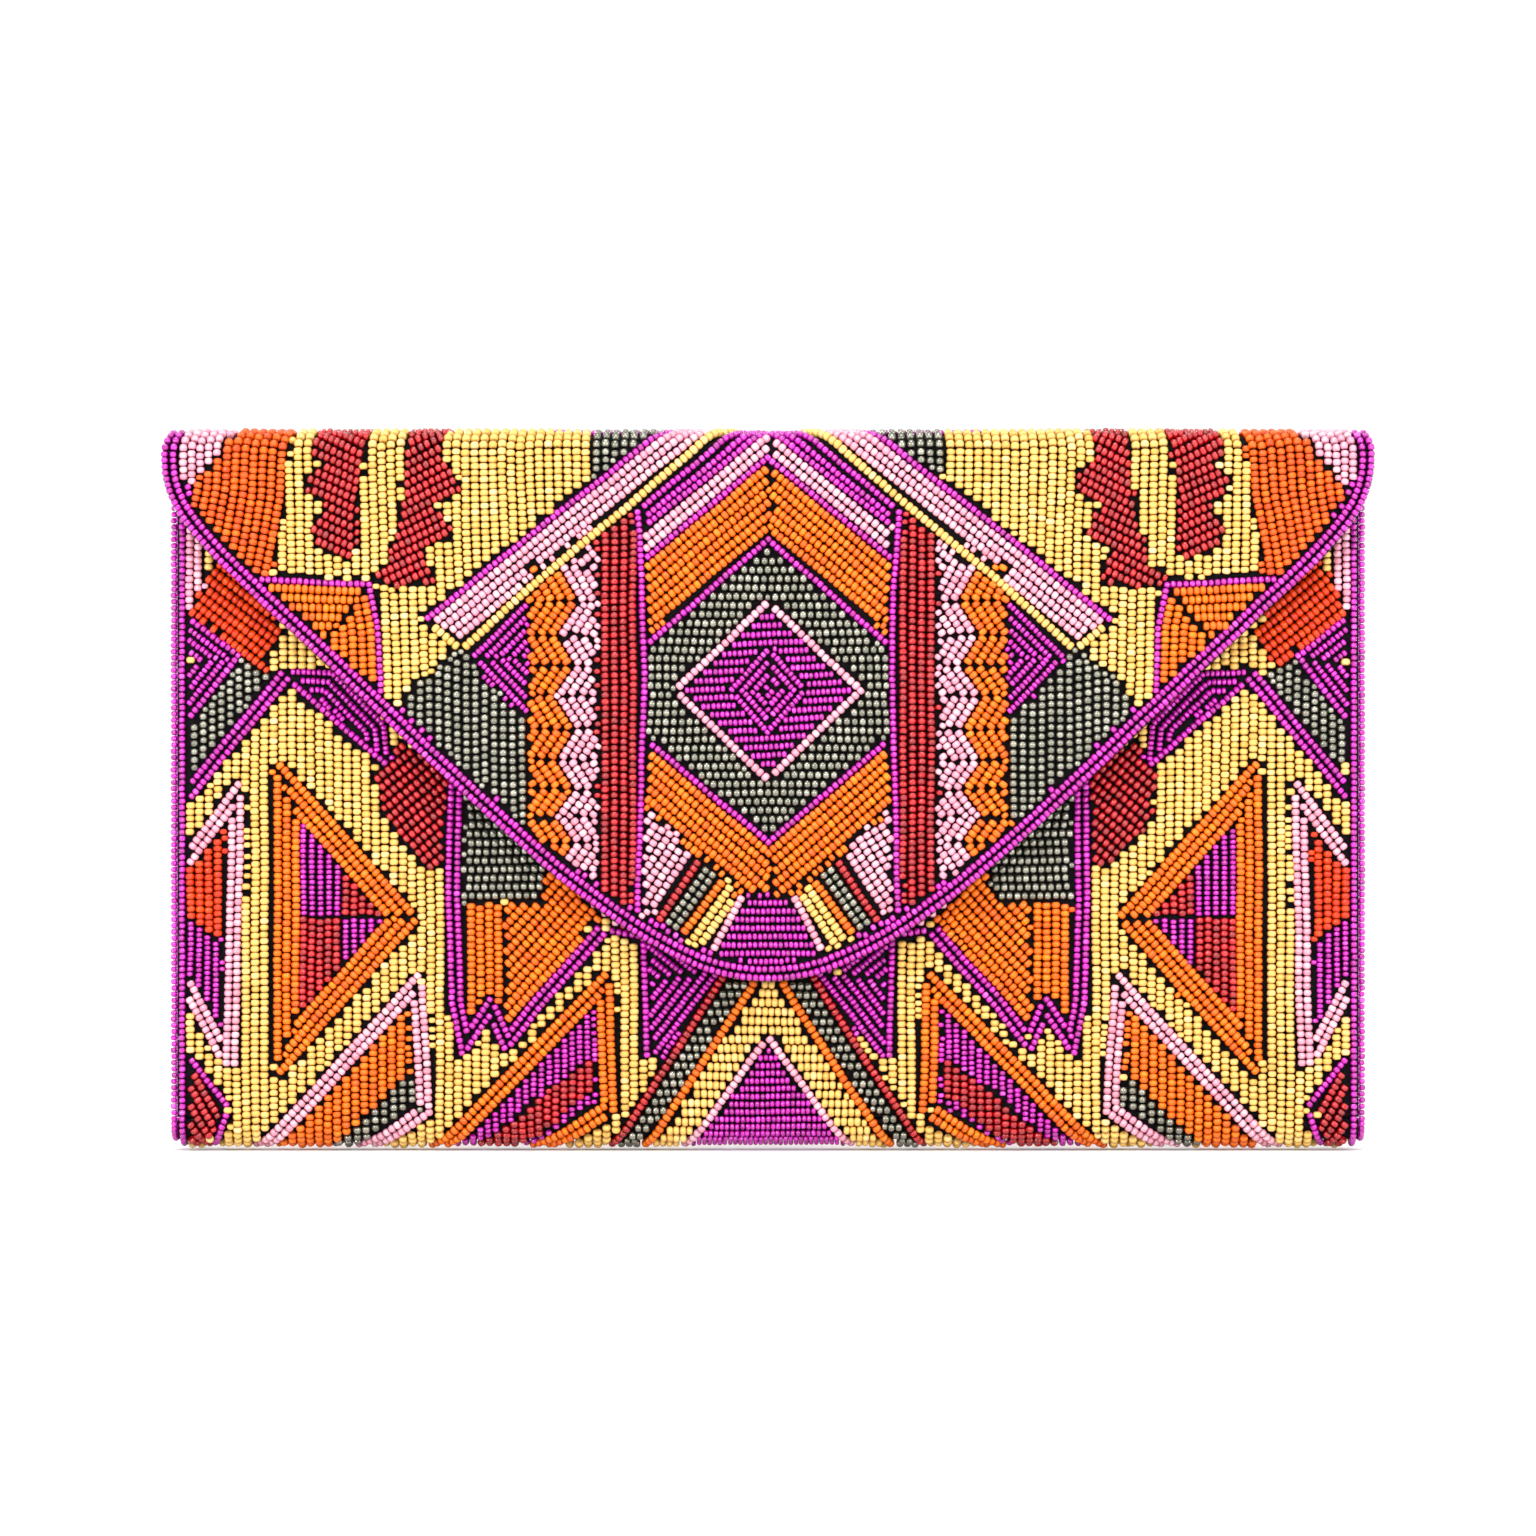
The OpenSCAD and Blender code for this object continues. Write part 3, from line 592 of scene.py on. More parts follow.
def pocket_pattern(field, hidden=True):
    rows, follow = field.rows, field.follow
    pocket_lines(field)
    # big triangle: rings of orange round magenta and red quarters
    field.rings("orange", [(114.6, 92.4), (80.0, 53.6), (114.6, 14.8)], 3)
    rows("fine", [(108.4, 78), (98.7, 66), (98.7, 54), (108.4, 54)], anchor=(108.6, 0),
         spacing=1.98, close=0.74)
    rows("red", [(98.7, 68), (86, 54), (98.7, 54)], anchor=(98.7, 0), spacing=1.93, close=0.74)
    rows("red", [(108.4, 54), (98.7, 54), (98.7, 41), (108.4, 29)], anchor=(108.6, 0),
         spacing=1.93, close=0.74)
    rows("fine", [(98.7, 54), (86, 54), (98.7, 39)], anchor=(98.7, 0), spacing=1.98, close=0.74)
    # sides
    rows("pink", [(134.9, 147), (130.6, 142), (131.4, 133), (132.6, 125.0), (134.9, 125.0)],
         anchor=(134.9, 0))
    follow("vermilion", [(132, 140), (134.9, 137), (134.9, 124.4), (118.0, 111.2),
                         (112.6, 120.5), (120, 131)],
           [(117.4, 110.9), (135.6, 125.0)], gap=0, rows=9)
    follow("fine", [(134.8, 123.4), (123.8, 114.8), (134.8, 100.4)],
           [(134.9, 123.8), (122.6, 114.4), (134.9, 98.8)], gap=-1.0, rows=6, first=1)
    rows("pewter", [(122.2, 114.2), (114.6, 110.4), (134.8, 85.0), (134.8, 98.0)])
    follow("fine", [(112.2, 111.6), (100.4, 111.8), (87.4, 99), (87.0, 88.8)],
           [(87.9, 87.6), (89.0, 98.6), (100.8, 110.4), (113.0, 110.9)],
           side=-1, gap=-0.9, rows=6)
    rows("fine", [(109.6, 109.4), (101.2, 108.6), (90.6, 98), (90.2, 91.6)], 48, (100, 100),
         spacing=1.9)
    rows("vermilion", [(126.2, 77.2), (134.8, 65.6), (134.8, 54.4), (126.2, 47.8)],
         anchor=(134.8, 0))
    rows("fine", [(126.4, 47.4), (134.8, 54), (134.8, 40.4), (126.4, 25)], anchor=(134.8, 0),
         spacing=1.98)
    rows("red", [(134.8, 20), (127.0, 10), (130.6, 0.2), (134.8, 0.2)], 60, (134.8, 10))
    rows("pewter", [(103, 0.2), (83.0, 17.8), (81.8, 11.4), (97.4, 0.2)], spacing=2.14)
    rows("orange", [(115.5, 0.2), (84.2, 32.4), (83.0, 17.8), (103, 0.2)])
    follow("red", [(85, 94), (73.4, 88), (73.9, 66.4), (76.4, 64.6), (80.4, 66.6),
                   (87.4, 76.6), (90.8, 86)],
           [(73.8, 92), (90.0, 78.6)], side=-1, gap=-9, rows=16)
    # grey and orange wedges
    rows("pewter", [(71.4, 92), (49, 72), (53.0, 57.9), (71.9, 57.7)], 0, (0, 57.8))
    rows("orange", [(71.9, 57.4), (61.6, 57.4), (61.6, 28), (64.4, 34.6), (70.6, 27)],
         anchor=(71.9, 0))
    follow("orange", [(61.6, 57.4), (52.6, 57.4), (50, 68), (43.4, 61.2), (38.6, 53),
                      (53.8, 35.4), (60.6, 27.4), (61.6, 30)],
           [(61.0, 26.4), (53.2, 35.4), (37.4, 52.6)], side=-1, gap=0.9, rows=14)
    rows("pink", [(47.6, 61.4), (44.6, 56.4), (34.0, 51.8), (35.6, 56.6), (42, 62)],
         0, (0, 51.8))
    rows("red", [(36, 57), (34.0, 51.6), (29.8, 51), (29.8, 54)], 0, (0, 51))
    # lower triangle between orange lines
    rows("red", [(40.6, 22), (40.6, 13.4), (50, 5.4), (60, 0.2), (70, 0.2), (56, 9.6)],
         spacing=1.93)
    rows("fine", [(40.0, 33.4), (40.0, 11.6), (57.5, 0.2), (74, 0.2)], spacing=1.78)
    # centre
    follow("fine", [(28.0, 56), (8.6, 56), (9.6, 41.4), (27.2, 20)],
           [(30.4, 57.5), (11.0, 41.8), (30.0, 17.4)], gap=-0.9, rows=12)
    rows("pewter", [(9.6, 39.8), (36.0, 0.2), (30.0, 0.2), (4.4, 38)], 0, (0, 26.6))
    rows("cream", full([(0, 40), (3.2, 37.4), (28.4, 0.2), (21.6, 0.2), (0, 27.8)]),
         0, (0, 26.6), mirror=False, spacing=2.12)
    rows("fine", full([(0, 25.4), (19.4, 0.2), (0, 0.2)]), 0, (0, 24), mirror=False,
         spacing=1.78)
    if hidden:
        under_flap(field)
    # the ground between everything
    rows("cream", [(0, 0.2), (134.8, 0.2), (134.8, 162), (0, 162)])


def flap_outline(inset, top):
    """Closed outline of the flap, run straight up to a given height."""
    whole = both_sides(np.vstack([[[FLAP_W, top]], flap_edge(24)]))
    outline = offset(whole, -inset)
    outline[0, 1] = outline[-1, 1] = top
    return outline


def warp_top(z):
    """Stretches the top of the flap's pattern over the fold and the spine."""
    return z if z < 165 else 165 + (z - 165) * 1.3


def warp_foot(z):
    """Draws heights below the panel out round the bottom fold."""
    if z >= BOTTOM_Z:
        return z
    if z >= 3.0:
        return BOTTOM_Z - BOTTOM_LAY_R * math.asin((BOTTOM_Z - z) / BOTTOM_LAY_R)
    return warp_foot(3.0) + (z - 3.0) * 1.75


def flap_field():
    """Flap, front fold and the front half of the spine."""
    outline = flap_outline(0.4, PATTERN_TOP)
    field = Field(11, lambda q: inside(outline, q) & (q[:, 1] < SPINE_MID - 0.74), warp_top)
    flap_lines(field)
    flap_pattern(field)
    field.fill_gaps(138, TIP_Z, SPINE_MID)
    return field


def front_field():
    """Front panel and the front half of the bottom fold, left bare round the snap."""
    snap_clear = 8.4

    def clip(q):
        return ((np.abs(q[:, 0]) < FIELD_W + 0.1) & (q[:, 1] > BOTTOM_LINE + 0.95)
                & (q[:, 1] < MOUTH_Z - 0.7) & (np.hypot(q[:, 0], q[:, 1] - SNAP_Z) > snap_clear))

    field = Field(12, clip, warp_foot)
    row_end, row_z = FIELD_W + 0.6, MOUTH_Z - 1.7           # the row along the mouth
    field.thread("magenta", [(-row_end, row_z), (row_end, row_z)], mirror=False)
    pocket_pattern(field)
    field.fill_gaps(133, BOTTOM_LINE, MOUTH_Z)
    return field


def back_field(flap, front):
    """Back panel: the flap's pattern inside its outline, the pocket's round it."""
    outline = flap_outline(0.2, FOLD_Z + 2)

    def panel(q):
        return ((np.abs(q[:, 0]) < FIELD_W + 0.1) & (q[:, 1] > BOTTOM_Z - 0.2)
                & (q[:, 1] < FOLD_Z + 0.6))

    field = Field(13, panel)
    field.borrow(flap, FOLD_Z, FOLD_Z + 4, 0.99)
    field.borrow(front, BOTTOM_Z - 5, BOTTOM_Z - 0.4)
    flap_lines(field)
    field.clip = lambda q: panel(q) & inside(outline, q)
    flap_pattern(field)
    field.clip = lambda q: panel(q) & ~inside(outline, q)
    pocket_pattern(field, hidden=False)
    field.clip = panel
    field.fill_gaps(133, BOTTOM_Z, FOLD_Z)
    return field


# ------------------------------------------------------------------ from the plane to the bag
# Each map takes x, t and the height over the cloth, and gives place, outward normal, direction
# of growing t, zone number and blend weight.


def ease(x, a, b):
    t = np.clip((x - a) / (b - a), 0, 1)
    return t * t * (3 - 2 * t)


def map_top(x, t, height):
    """Zones: 0 flap, 1 front fold, 2 spine, 3 rear fold."""
    s = t - FOLD_Z
    x = x * (1 - 0.0112 * ease(s, 0, ARC_LEN))      # the spine is narrower than the flap
    turn = (np.clip(s, 0, ARC_LEN) + np.maximum(s - ARC_LEN - SPINE_LEN, 0)) / LAY_R
    c, si = np.cos(turn), np.sin(turn)
    r = FOLD_R + height
    place = np.c_[x, FRONT_ARC_Y + np.clip(s - ARC_LEN, 0, SPINE_LEN) - r * c,
                  FOLD_Z + np.minimum(s, 0) + r * si]
    zone = (s > 0).astype(int) + (s > ARC_LEN) + (s > ARC_LEN + SPINE_LEN)
    weight = np.where(zone == 3, 2.0, 1.0) - turn / QUARTER
    return place, np.c_[0 * c, -c, si], np.c_[0 * c, si, c], zone, weight


def map_front(x, t, height):
    """Zones: 0 front panel, 1 bottom fold."""
    turn = np.maximum(BOTTOM_Z - t, 0) / BOTTOM_LAY_R
    c, s = np.cos(turn), np.sin(turn)
    r = BOTTOM_R + height
    place = np.c_[x, MID_Y - r * c, np.maximum(t, BOTTOM_Z) - r * s]
    zone = (t < FOOT_Z + 0.5).astype(int)
    return place, np.c_[0 * c, -c, -s], np.c_[0 * c, -s, c], zone, np.zeros(len(x))


def map_under(x, t, height):
    """Rear half of the bottom fold, as the mirror image of the front half."""
    place, normal, tangent, zone, weight = map_front(x, t, height)
    place[:, 1] = 2 * MID_Y - place[:, 1]
    normal[:, 1] *= -1
    tangent[:, 1] *= -1
    return place, normal, tangent, zone, weight


def map_back(x, t, height):
    n = len(x)
    return (np.c_[x, BACK_Y + height, t], np.tile([0.0, 1, 0], (n, 1)),
            np.tile([0.0, 0, 1], (n, 1)), np.zeros(n, int), np.zeros(n))


def wave(x, t, seed):
    """A slow unevenness of hand work, in -1..1."""
    return (np.sin(x * 0.115 + seed) * np.sin(t * 0.093 + 1.7 * seed)
            + 0.6 * np.sin(x * 0.043 - t * 0.061 + 2.1 * seed)) / 1.6


GROUPS = {}     # (zone, colour): list of (place, axis, normal, diameter, length, alt, weight)


def add_group(zone, colour, *columns):
    if len(columns[0]):
        GROUPS.setdefault((zone, colour), []).append(columns)


def place_beads(beads, mapper, zones, seed, flip_t=None):
    """Wraps laid beads round the bag; flip_t turns them over to the other side of a line."""
    x, t, angle, scale = (np.array([getattr(b, key) for b in beads])
                          for key in ("x", "z", "angle", "scale"))
    diameter, length, alt = (np.array([getattr(KINDS[b.kind], key) for b in beads], float)
                             for key in ("diameter", "length", "alt"))
    colour = np.array([KINDS[b.kind].colour for b in beads])
    if flip_t is not None:
        t = 2 * flip_t - t
        angle = -angle
    diameter, length = diameter * scale, length * scale
    small = colour == "magenta"
    height = (np.where(small, 0.94, diameter / 2) + 0.09 * wave(x, t, seed)
              + RNG.normal(0, 0.03, len(x)))
    height = np.maximum(height, np.where(small, 0.82, 0.94))
    x = x + 0.17 * wave(x * 1.9, t * 2.1, seed + 4)     # hand-laid rows are never straight
    t = t + 0.17 * wave(x * 2.2, t * 1.8, seed + 7)
    place, normal, tangent, zone, weight = mapper(x, t, height)
    if mapper is map_top:               # closes the beads up where the folds spread them
        arc = (zone == 1) | (zone == 3)
        upright = np.abs(np.sin(angle)) > 0.6
        length = length * np.where(arc & upright, 1.13, 1.0)
        diameter = diameter * np.where(arc & ~upright, 1.06, 1.0)
    axis = (np.tile([1.0, 0, 0], (len(x), 1)) * np.cos(angle)[:, None]
            + tangent * np.sin(angle)[:, None]
            + normal * RNG.normal(0, 0.05, len(x))[:, None])
    columns = (place, axis, normal, diameter, length, alt, weight)
    for number, name in enumerate(zones):
        for c in COLOURS:
            chosen = (zone == number) & (colour == c)
            add_group(name, c, *(column[chosen] for column in columns))


# place and height over the cloth of the threaded rows along the sides
SIDE_ROWS = ((HALF_W - 1.22, 0.90), (HALF_W + 0.78, -0.26))


def place_side_rows(t0, t1, mapper, zones):
    for half, side in ((-1, "_left"), (1, "_right")):
        for row_x, row_height in SIDE_ROWS:
            n = int((t1 - t0) / KINDS["magenta"].pitch)
            t = t0 + (np.arange(n) + 0.5) * (t1 - t0) / n
            x = np.full(n, half * row_x) + RNG.normal(0, 0.04, n)
            height = np.full(n, row_height) + RNG.normal(0, 0.03, n)
            place, normal, tangent, zone, weight = mapper(x, t, height)
            axis = tangent + RNG.normal(0, 0.04, (n, 3))
            scale = 1 + RNG.normal(0, 0.02, n)
            columns = (place, axis, normal, 1.60 * scale, 1.36 * scale, np.zeros(n), weight)
            for number, name in enumerate(zones):
                add_group(name + side, "edge", *(column[zone == number] for column in columns))


# ------------------------------------------------------------------ bead meshes


def bead_shape(segments, shoulder_x, shoulder_r, end_r):
    """Barrel of unit half length and radius along X, dished at its ends: points, triangles, UV."""
    rings = [(-0.95, end_r), (-shoulder_x, shoulder_r), (0, 1.0),
             (shoulder_x, shoulder_r), (0.95, end_r)]
    angles = np.arange(segments) * 2 * math.pi / segments
    points = [(x, r * math.cos(a), r * math.sin(a)) for x, r in rings for a in angles]
    points += [(-0.80, 0, 0), (0.80, 0, 0)]
    n = len(rings)
    triangles, uv = [], []
    for i in range(n - 1):
        for j in range(segments):
            k = (j + 1) % segments
            a, b = i * segments + j, i * segments + k
            c, d = (i + 1) * segments + k, (i + 1) * segments + j
            triangles += [(a, c, b), (a, d, c)]
            u0, u1 = j / segments, (j + 1) / segments
            v0, v1 = (i + 1) / (n + 1), (i + 2) / (n + 1)
            uv += [(u0, v0), (u1, v1), (u1, v0), (u0, v0), (u0, v1), (u1, v1)]
    for j in range(segments):
        k = (j + 1) % segments
        triangles += [(n * segments, j, k),
                      (n * segments + 1, (n - 1) * segments + k, (n - 1) * segments + j)]
        u0, u1 = j / segments, (j + 1) / segments
        uv += [((u0 + u1) / 2, 0), (u0, 1 / (n + 1)), (u1, 1 / (n + 1)),
               ((u0 + u1) / 2, 1), (u1, n / (n + 1)), (u0, n / (n + 1))]
    return np.array(points), np.array(triangles), np.array(uv)


BIG = bead_shape(9, shoulder_x=0.66, shoulder_r=0.87, end_r=0.54)
SMALL = bead_shape(7, shoulder_x=0.62, shoulder_r=0.89, end_r=0.56)


def bead_piece(name, place, axis, normal, diameter, length, alt, tint, shape, material, slot):
    """One mesh of many beads, each a rounded barrel."""
    points, triangles, uv = shape
    n, point_count = len(place), len(points)
    axis = axis / np.linalg.norm(axis, axis=1)[:, None]
    normal = normal - (normal * axis).sum(1)[:, None] * axis
    normal /= np.linalg.norm(normal, axis=1)[:, None]
    cross = np.cross(axis, normal)
    spin = RNG.uniform(0, 2 * math.pi / 6, n)
    cs, sn = np.cos(spin)[:, None], np.sin(spin)[:, None]
    y, z = points[:, 1][None, :], points[:, 2][None, :]
    out, across = y * cs - z * sn, y * sn + z * cs
    radius = (diameter / 2)[:, None]
    co = (place[:, None, :]
          + axis[:, None, :] * (points[:, 0][None, :, None] * (length / 2)[:, None, None])
          + normal[:, None, :] * (out * radius)[:, :, None]
          + cross[:, None, :] * (across * radius)[:, :, None]) / MM
    mesh = bpy.data.meshes.new(name)
    mesh.vertices.add(n * point_count)
    mesh.vertices.foreach_set("co", co.astype(np.float32).ravel())
    corners = (triangles[None, :, :] + (np.arange(n) * point_count)[:, None, None]).reshape(-1, 3)
    mesh.loops.add(len(corners) * 3)
    mesh.loops.foreach_set("vertex_index", corners.astype(np.int32).ravel())
    mesh.polygons.add(len(corners))
    mesh.polygons.foreach_set("loop_start", np.arange(0, len(corners) * 3, 3, dtype=np.int32))
    mesh.polygons.foreach_set("use_smooth", np.ones(len(corners), bool))
    mesh.update(calc_edges=True)
    # every bead has its own square of the UV map
    squares = int(math.ceil(math.sqrt(n)))
    corner = np.c_[np.arange(n) % squares, np.arange(n) // squares] / squares
    bead_uv = (corner[:, None, :] + (0.14 + 0.72 * uv[None, :, :]) / squares).reshape(-1, 2)
    mesh.uv_layers.new(name="OFBake").data.foreach_set("uv", bead_uv.astype(np.float32).ravel())
    # end: nearness to the bead's ends, 1.6 in its holes; the material paints shade there
    end = np.clip((np.abs(points[:, 0]) - 0.6) / 0.34, 0, 1)
    end[-2:] = 1.6
    for key, values in (("tint", np.repeat(tint, point_count)),
                        ("alt", np.repeat(alt, point_count)), ("end", np.tile(end, n))):
        attribute = mesh.attributes.new(key, "FLOAT", "POINT")
        attribute.data.foreach_set("value", values.astype(np.float32))
    ob = bpy.data.objects.new(name, mesh)
    bpy.context.scene.collection.objects.link(ob)
    mesh.materials.append(material)
    return ob


def set_blend(ob):
    """Bakes the piece's placement into its mesh."""
    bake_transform(ob)


# ------------------------------------------------------------------ materials


def rgba(colour):
    return (*colour, 1)


def srgb(colour):
    """Linear colour from 0..255 values."""
    return tuple((c / 255 / 12.92) if c / 255 <= 0.04045 else ((c / 255 + 0.055) / 1.055) ** 2.4
                 for c in colour)


class Shader:
    """A material with a principled surface, and short ways to add nodes to it."""

    def __init__(self, name):
        self.material = bpy.data.materials.new(name)
        self.material.use_nodes = True
        self.tree = self.material.node_tree
        self.tree.nodes.clear()
        output = self.tree.nodes.new("ShaderNodeOutputMaterial")
        self.principled = self.tree.nodes.new("ShaderNodeBsdfPrincipled")
        self.tree.links.new(self.principled.outputs[0], output.inputs[0])

    def fill(self, node, inputs):
        """Links sockets and sets plain values."""
        for key, value in inputs.items():
            if isinstance(value, bpy.types.NodeSocket):
                self.tree.links.new(value, node.inputs[key])
            else:
                node.inputs[key].default_value = value

    def add(self, kind, inputs=None, **settings):
        node = self.tree.nodes.new("ShaderNode" + kind)
        for key, value in settings.items():
            setattr(node, key, value)
        self.fill(node, inputs or {})
        return node

    def surface(self, inputs):
        self.fill(self.principled, inputs)

    def ramp(self, value, stops):
        node = self.add("ValToRGB", {0: value})
        elements = node.color_ramp.elements
        elements[0].position, elements[0].color = stops[0][0], rgba(stops[0][1])
        elements[1].position, elements[1].color = stops[-1][0], rgba(stops[-1][1])
        for position, colour in stops[1:-1]:
            elements.new(position).color = rgba(colour)
        return node.outputs[0]

    def mix(self, factor, a, b, mode="MIX"):
        # sockets 6 and 7 are the two colours
        node = self.add("Mix", {0: factor, 6: a, 7: b}, data_type="RGBA", blend_type=mode)
        return node.outputs[2]

    def math(self, operation, a, b=0.5, clamp=False):
        return self.add("Math", {0: a, 1: b}, operation=operation, use_clamp=clamp).outputs[0]

    def place(self):
        return self.add("TexCoord").outputs["Object"]

    def noise(self, scale, detail=2.0, rough=0.5, vector=None):
        return self.add("TexNoise", {"Scale": scale, "Detail": detail, "Roughness": rough,
                                     "Vector": vector or self.place()}).outputs["Fac"]

    def attribute(self, name):
        return self.add("Attribute", attribute_name=name).outputs["Fac"]

    def remap(self, value, to, source=(0.0, 1.0)):
        return self.add("MapRange", {"Value": value, "From Min": source[0],
                                     "From Max": source[1], "To Min": to[0],
                                     "To Max": to[1]}).outputs[0]

    def bump(self, height, strength, distance):
        node = self.add("Bump", {"Strength": strength, "Distance": distance, "Height": height})
        self.surface({"Normal": node.outputs[0]})


def bead_material(name, shades, edge, rough, coat, alt=None, metal=0.0, specular=0.5,
                  coat_ior=1.5):
    """Glazed beads. shades and alt: (position, 0..255 colour); edge: (blend, power, colour) of the
    painted shade on the rims.
    """
    sh = Shader(name)
    tint = sh.attribute("tint")
    colour = sh.ramp(tint, [(p, srgb(c)) for p, c in shades])
    if alt:
        second = sh.ramp(tint, [(p, srgb(c)) for p, c in alt])
        colour = sh.mix(sh.attribute("alt"), colour, second)
    # fine uneven depth of colour within a bead, and painted shade that darkens it towards the
    # holes at its ends
    depth = sh.ramp(sh.noise(1500), [(0.25, (0.86, 0.86, 0.86)), (0.75, (1.06, 1.06, 1.06))])
    colour = sh.mix(1.0, colour, depth, "MULTIPLY")
    colour = sh.mix(sh.math("MULTIPLY", sh.attribute("end"), 0.3), colour,
                    rgba((0.03, 0.016, 0.012)))
    # painted shade: rims that turn away from the view are mixed towards the darker edge colour
    facing = sh.add("LayerWeight", {"Blend": edge[0]}).outputs["Facing"]
    colour = sh.mix(sh.math("POWER", facing, edge[1]), colour, rgba(srgb(edge[2])))
    sh.surface({"Base Color": colour, "Roughness": sh.remap(sh.noise(420, 3), to=rough),
                "Metallic": metal, "Coat Weight": coat, "Coat Roughness": 0.05,
                "Coat IOR": coat_ior, "Specular IOR Level": specular})
    sh.bump(sh.noise(1100), strength=0.35, distance=0.00012)
    return sh.material


BEAD_MATERIALS = {
    "cream": bead_material(
        "cream_beads",
        [(0, (222, 172, 78)), (0.35, (238, 194, 100)), (0.75, (246, 206, 116)),
         (1, (253, 226, 158))],
        alt=[(0, (170, 118, 56)), (1, (214, 164, 98))],
        edge=(0.42, 1.5, (186, 118, 40)), rough=(0.22, 0.34), coat=0.15, specular=0.4),
    "orange": bead_material(
        "orange_beads",
        [(0, (214, 84, 0)), (0.4, (240, 110, 0)), (0.8, (248, 122, 0)), (1, (254, 140, 8))],
        alt=[(0, (194, 36, 0)), (0.6, (220, 54, 0)), (1, (238, 76, 0))],
        edge=(0.42, 1.5, (190, 52, 0)), rough=(0.2, 0.32), coat=0.15, specular=0.38),
    "pink": bead_material(
        "pink_beads", [(0, (216, 132, 154)), (0.5, (236, 164, 184)), (1, (248, 196, 210))],
        edge=(0.36, 1.6, (190, 84, 108)), rough=(0.16, 0.28), coat=0.5, coat_ior=1.7),
    "red": bead_material(
        "red_beads",
        [(0, (132, 0, 8)), (0.5, (178, 0, 12)), (0.9, (200, 2, 18)), (1, (216, 34, 40))],
        edge=(0.42, 1.2, (92, 0, 6)), rough=(0.06, 0.14), coat=0.72, specular=0.3,
        coat_ior=1.58),
    "pewter": bead_material(
        "pewter_beads", [(0, (106, 106, 90)), (0.5, (136, 135, 118)), (1, (172, 170, 154))],
        edge=(0.45, 1.1, (60, 60, 48)), rough=(0.12, 0.22), coat=0.6, metal=0.72,
        coat_ior=1.8),
    # random tone of each bead; the palest stop also paints a few beads brighter as painted glints
    "magenta": bead_material(
        "magenta_beads",
        [(0, (156, 2, 132)), (0.45, (194, 4, 166)), (0.85, (212, 18, 188)),
         (1, (232, 84, 214))],
        edge=(0.42, 1.2, (108, 0, 94)), rough=(0.06, 0.16), coat=0.8, specular=0.3,
        coat_ior=1.62),
}


def weave_material(name, base, pitch, rough, sheen, depth=0.00006, lift=1.6, specular=0.4):
    """Woven cloth: pitch is the wavelength of the threads, lift how much lighter the raised
    threads are painted.
    """
    sh = Shader(name)
    axes = sh.add("SeparateXYZ", {0: sh.place()}).outputs
    frequency = 2 * math.pi / pitch
    # warp and weft: two crossed sets of threads, one over the other in turn
    drop = sh.math("ADD", axes["Y"], axes["Z"])
    warp = sh.math("SINE", sh.math("MULTIPLY", axes["X"], frequency))
    weft = sh.math("SINE", sh.math("MULTIPLY", drop, frequency))
    crossing = sh.math("MULTIPLY", warp, weft)
    height = sh.math("ADD", sh.math("MULTIPLY", sh.math("ABSOLUTE", crossing), 0.7),
                     sh.math("MULTIPLY", crossing, 0.3))
    mottle = sh.noise(90, 4)
    # painted light and shade: the colour is lighter on raised threads and darker where they dip
    # under; the mottle is uneven tone of the cloth
    shade = sh.math("ADD", sh.math("MULTIPLY", height, 0.5),
                    sh.math("MULTIPLY", mottle, 0.5), clamp=True)
    dark = tuple(c * 0.7 for c in base)
    light = tuple(min(1, c * lift + 0.0015) for c in base)
    sh.surface({"Base Color": sh.ramp(shade, [(0.1, dark), (0.9, light)]),
                "Roughness": sh.remap(shade, to=rough), "Sheen Weight": sheen,
                "Specular IOR Level": specular, "Sheen Roughness": 0.4})
    sh.bump(height, strength=0.6, distance=depth)
    return sh.material


def board_material():
    sh = Shader("pressed_board")
    fibre, cloud = sh.noise(600, 6, 0.65), sh.noise(60, 3)
    shade = sh.math("ADD", sh.math("MULTIPLY", fibre, 0.6), sh.math("MULTIPLY", cloud, 0.4))
    colour = sh.ramp(shade, [(0.2, (0.34, 0.26, 0.17)), (0.5, (0.48, 0.38, 0.26)),
                             (0.85, (0.58, 0.48, 0.34))])
    sh.surface({"Base Color": colour, "Roughness": sh.remap(fibre, to=(0.78, 0.95))})
    sh.bump(fibre, strength=0.5, distance=0.0001)
    return sh.material


def metal_material(name, dark, light, rough, metal=1.0, depth=0.00002):
    sh = Shader(name)
    drawn = sh.add("Mapping", {0: sh.place(), "Scale": (1, 1, 6)}).outputs[0]
    grain = sh.noise(700, 5, 0.6, drawn)
    sh.surface({"Base Color": sh.ramp(grain, [(0.3, dark), (0.75, light)]),
                "Roughness": sh.remap(grain, to=rough), "Metallic": metal})
    sh.bump(grain, strength=0.3, distance=depth)
    return sh.material


CLOTH = weave_material("ground_weave", (0.0045, 0.0035, 0.0045), pitch=0.00085,
                       rough=(0.75, 0.95), sheen=0.02, specular=0.12)
GUSSET = weave_material("gusset_weave", (0.008, 0.0065, 0.0085), pitch=0.0009,
                        rough=(0.7, 0.92), sheen=0.12, specular=0.2)
SATIN = weave_material("satin_lining", (0.020, 0.016, 0.023), pitch=0.00042,
                       rough=(0.28, 0.46), sheen=0.5, depth=0.00002, lift=2.2)
THREAD = weave_material("sewing_thread", (0.030, 0.026, 0.034), pitch=0.0005,
                        rough=(0.45, 0.65), sheen=0.4, lift=2.0)
BOARD = board_material()
NICKEL = metal_material("nickel_plate", dark=(0.33, 0.32, 0.30), light=(0.46, 0.45, 0.42),
                        rough=(0.16, 0.30))
FERRITE = metal_material("ferrite", dark=(0.03, 0.03, 0.032), light=(0.07, 0.07, 0.072),
                         rough=(0.5, 0.7), metal=0.3, depth=0.00005)

# ------------------------------------------------------------------ beads to pieces


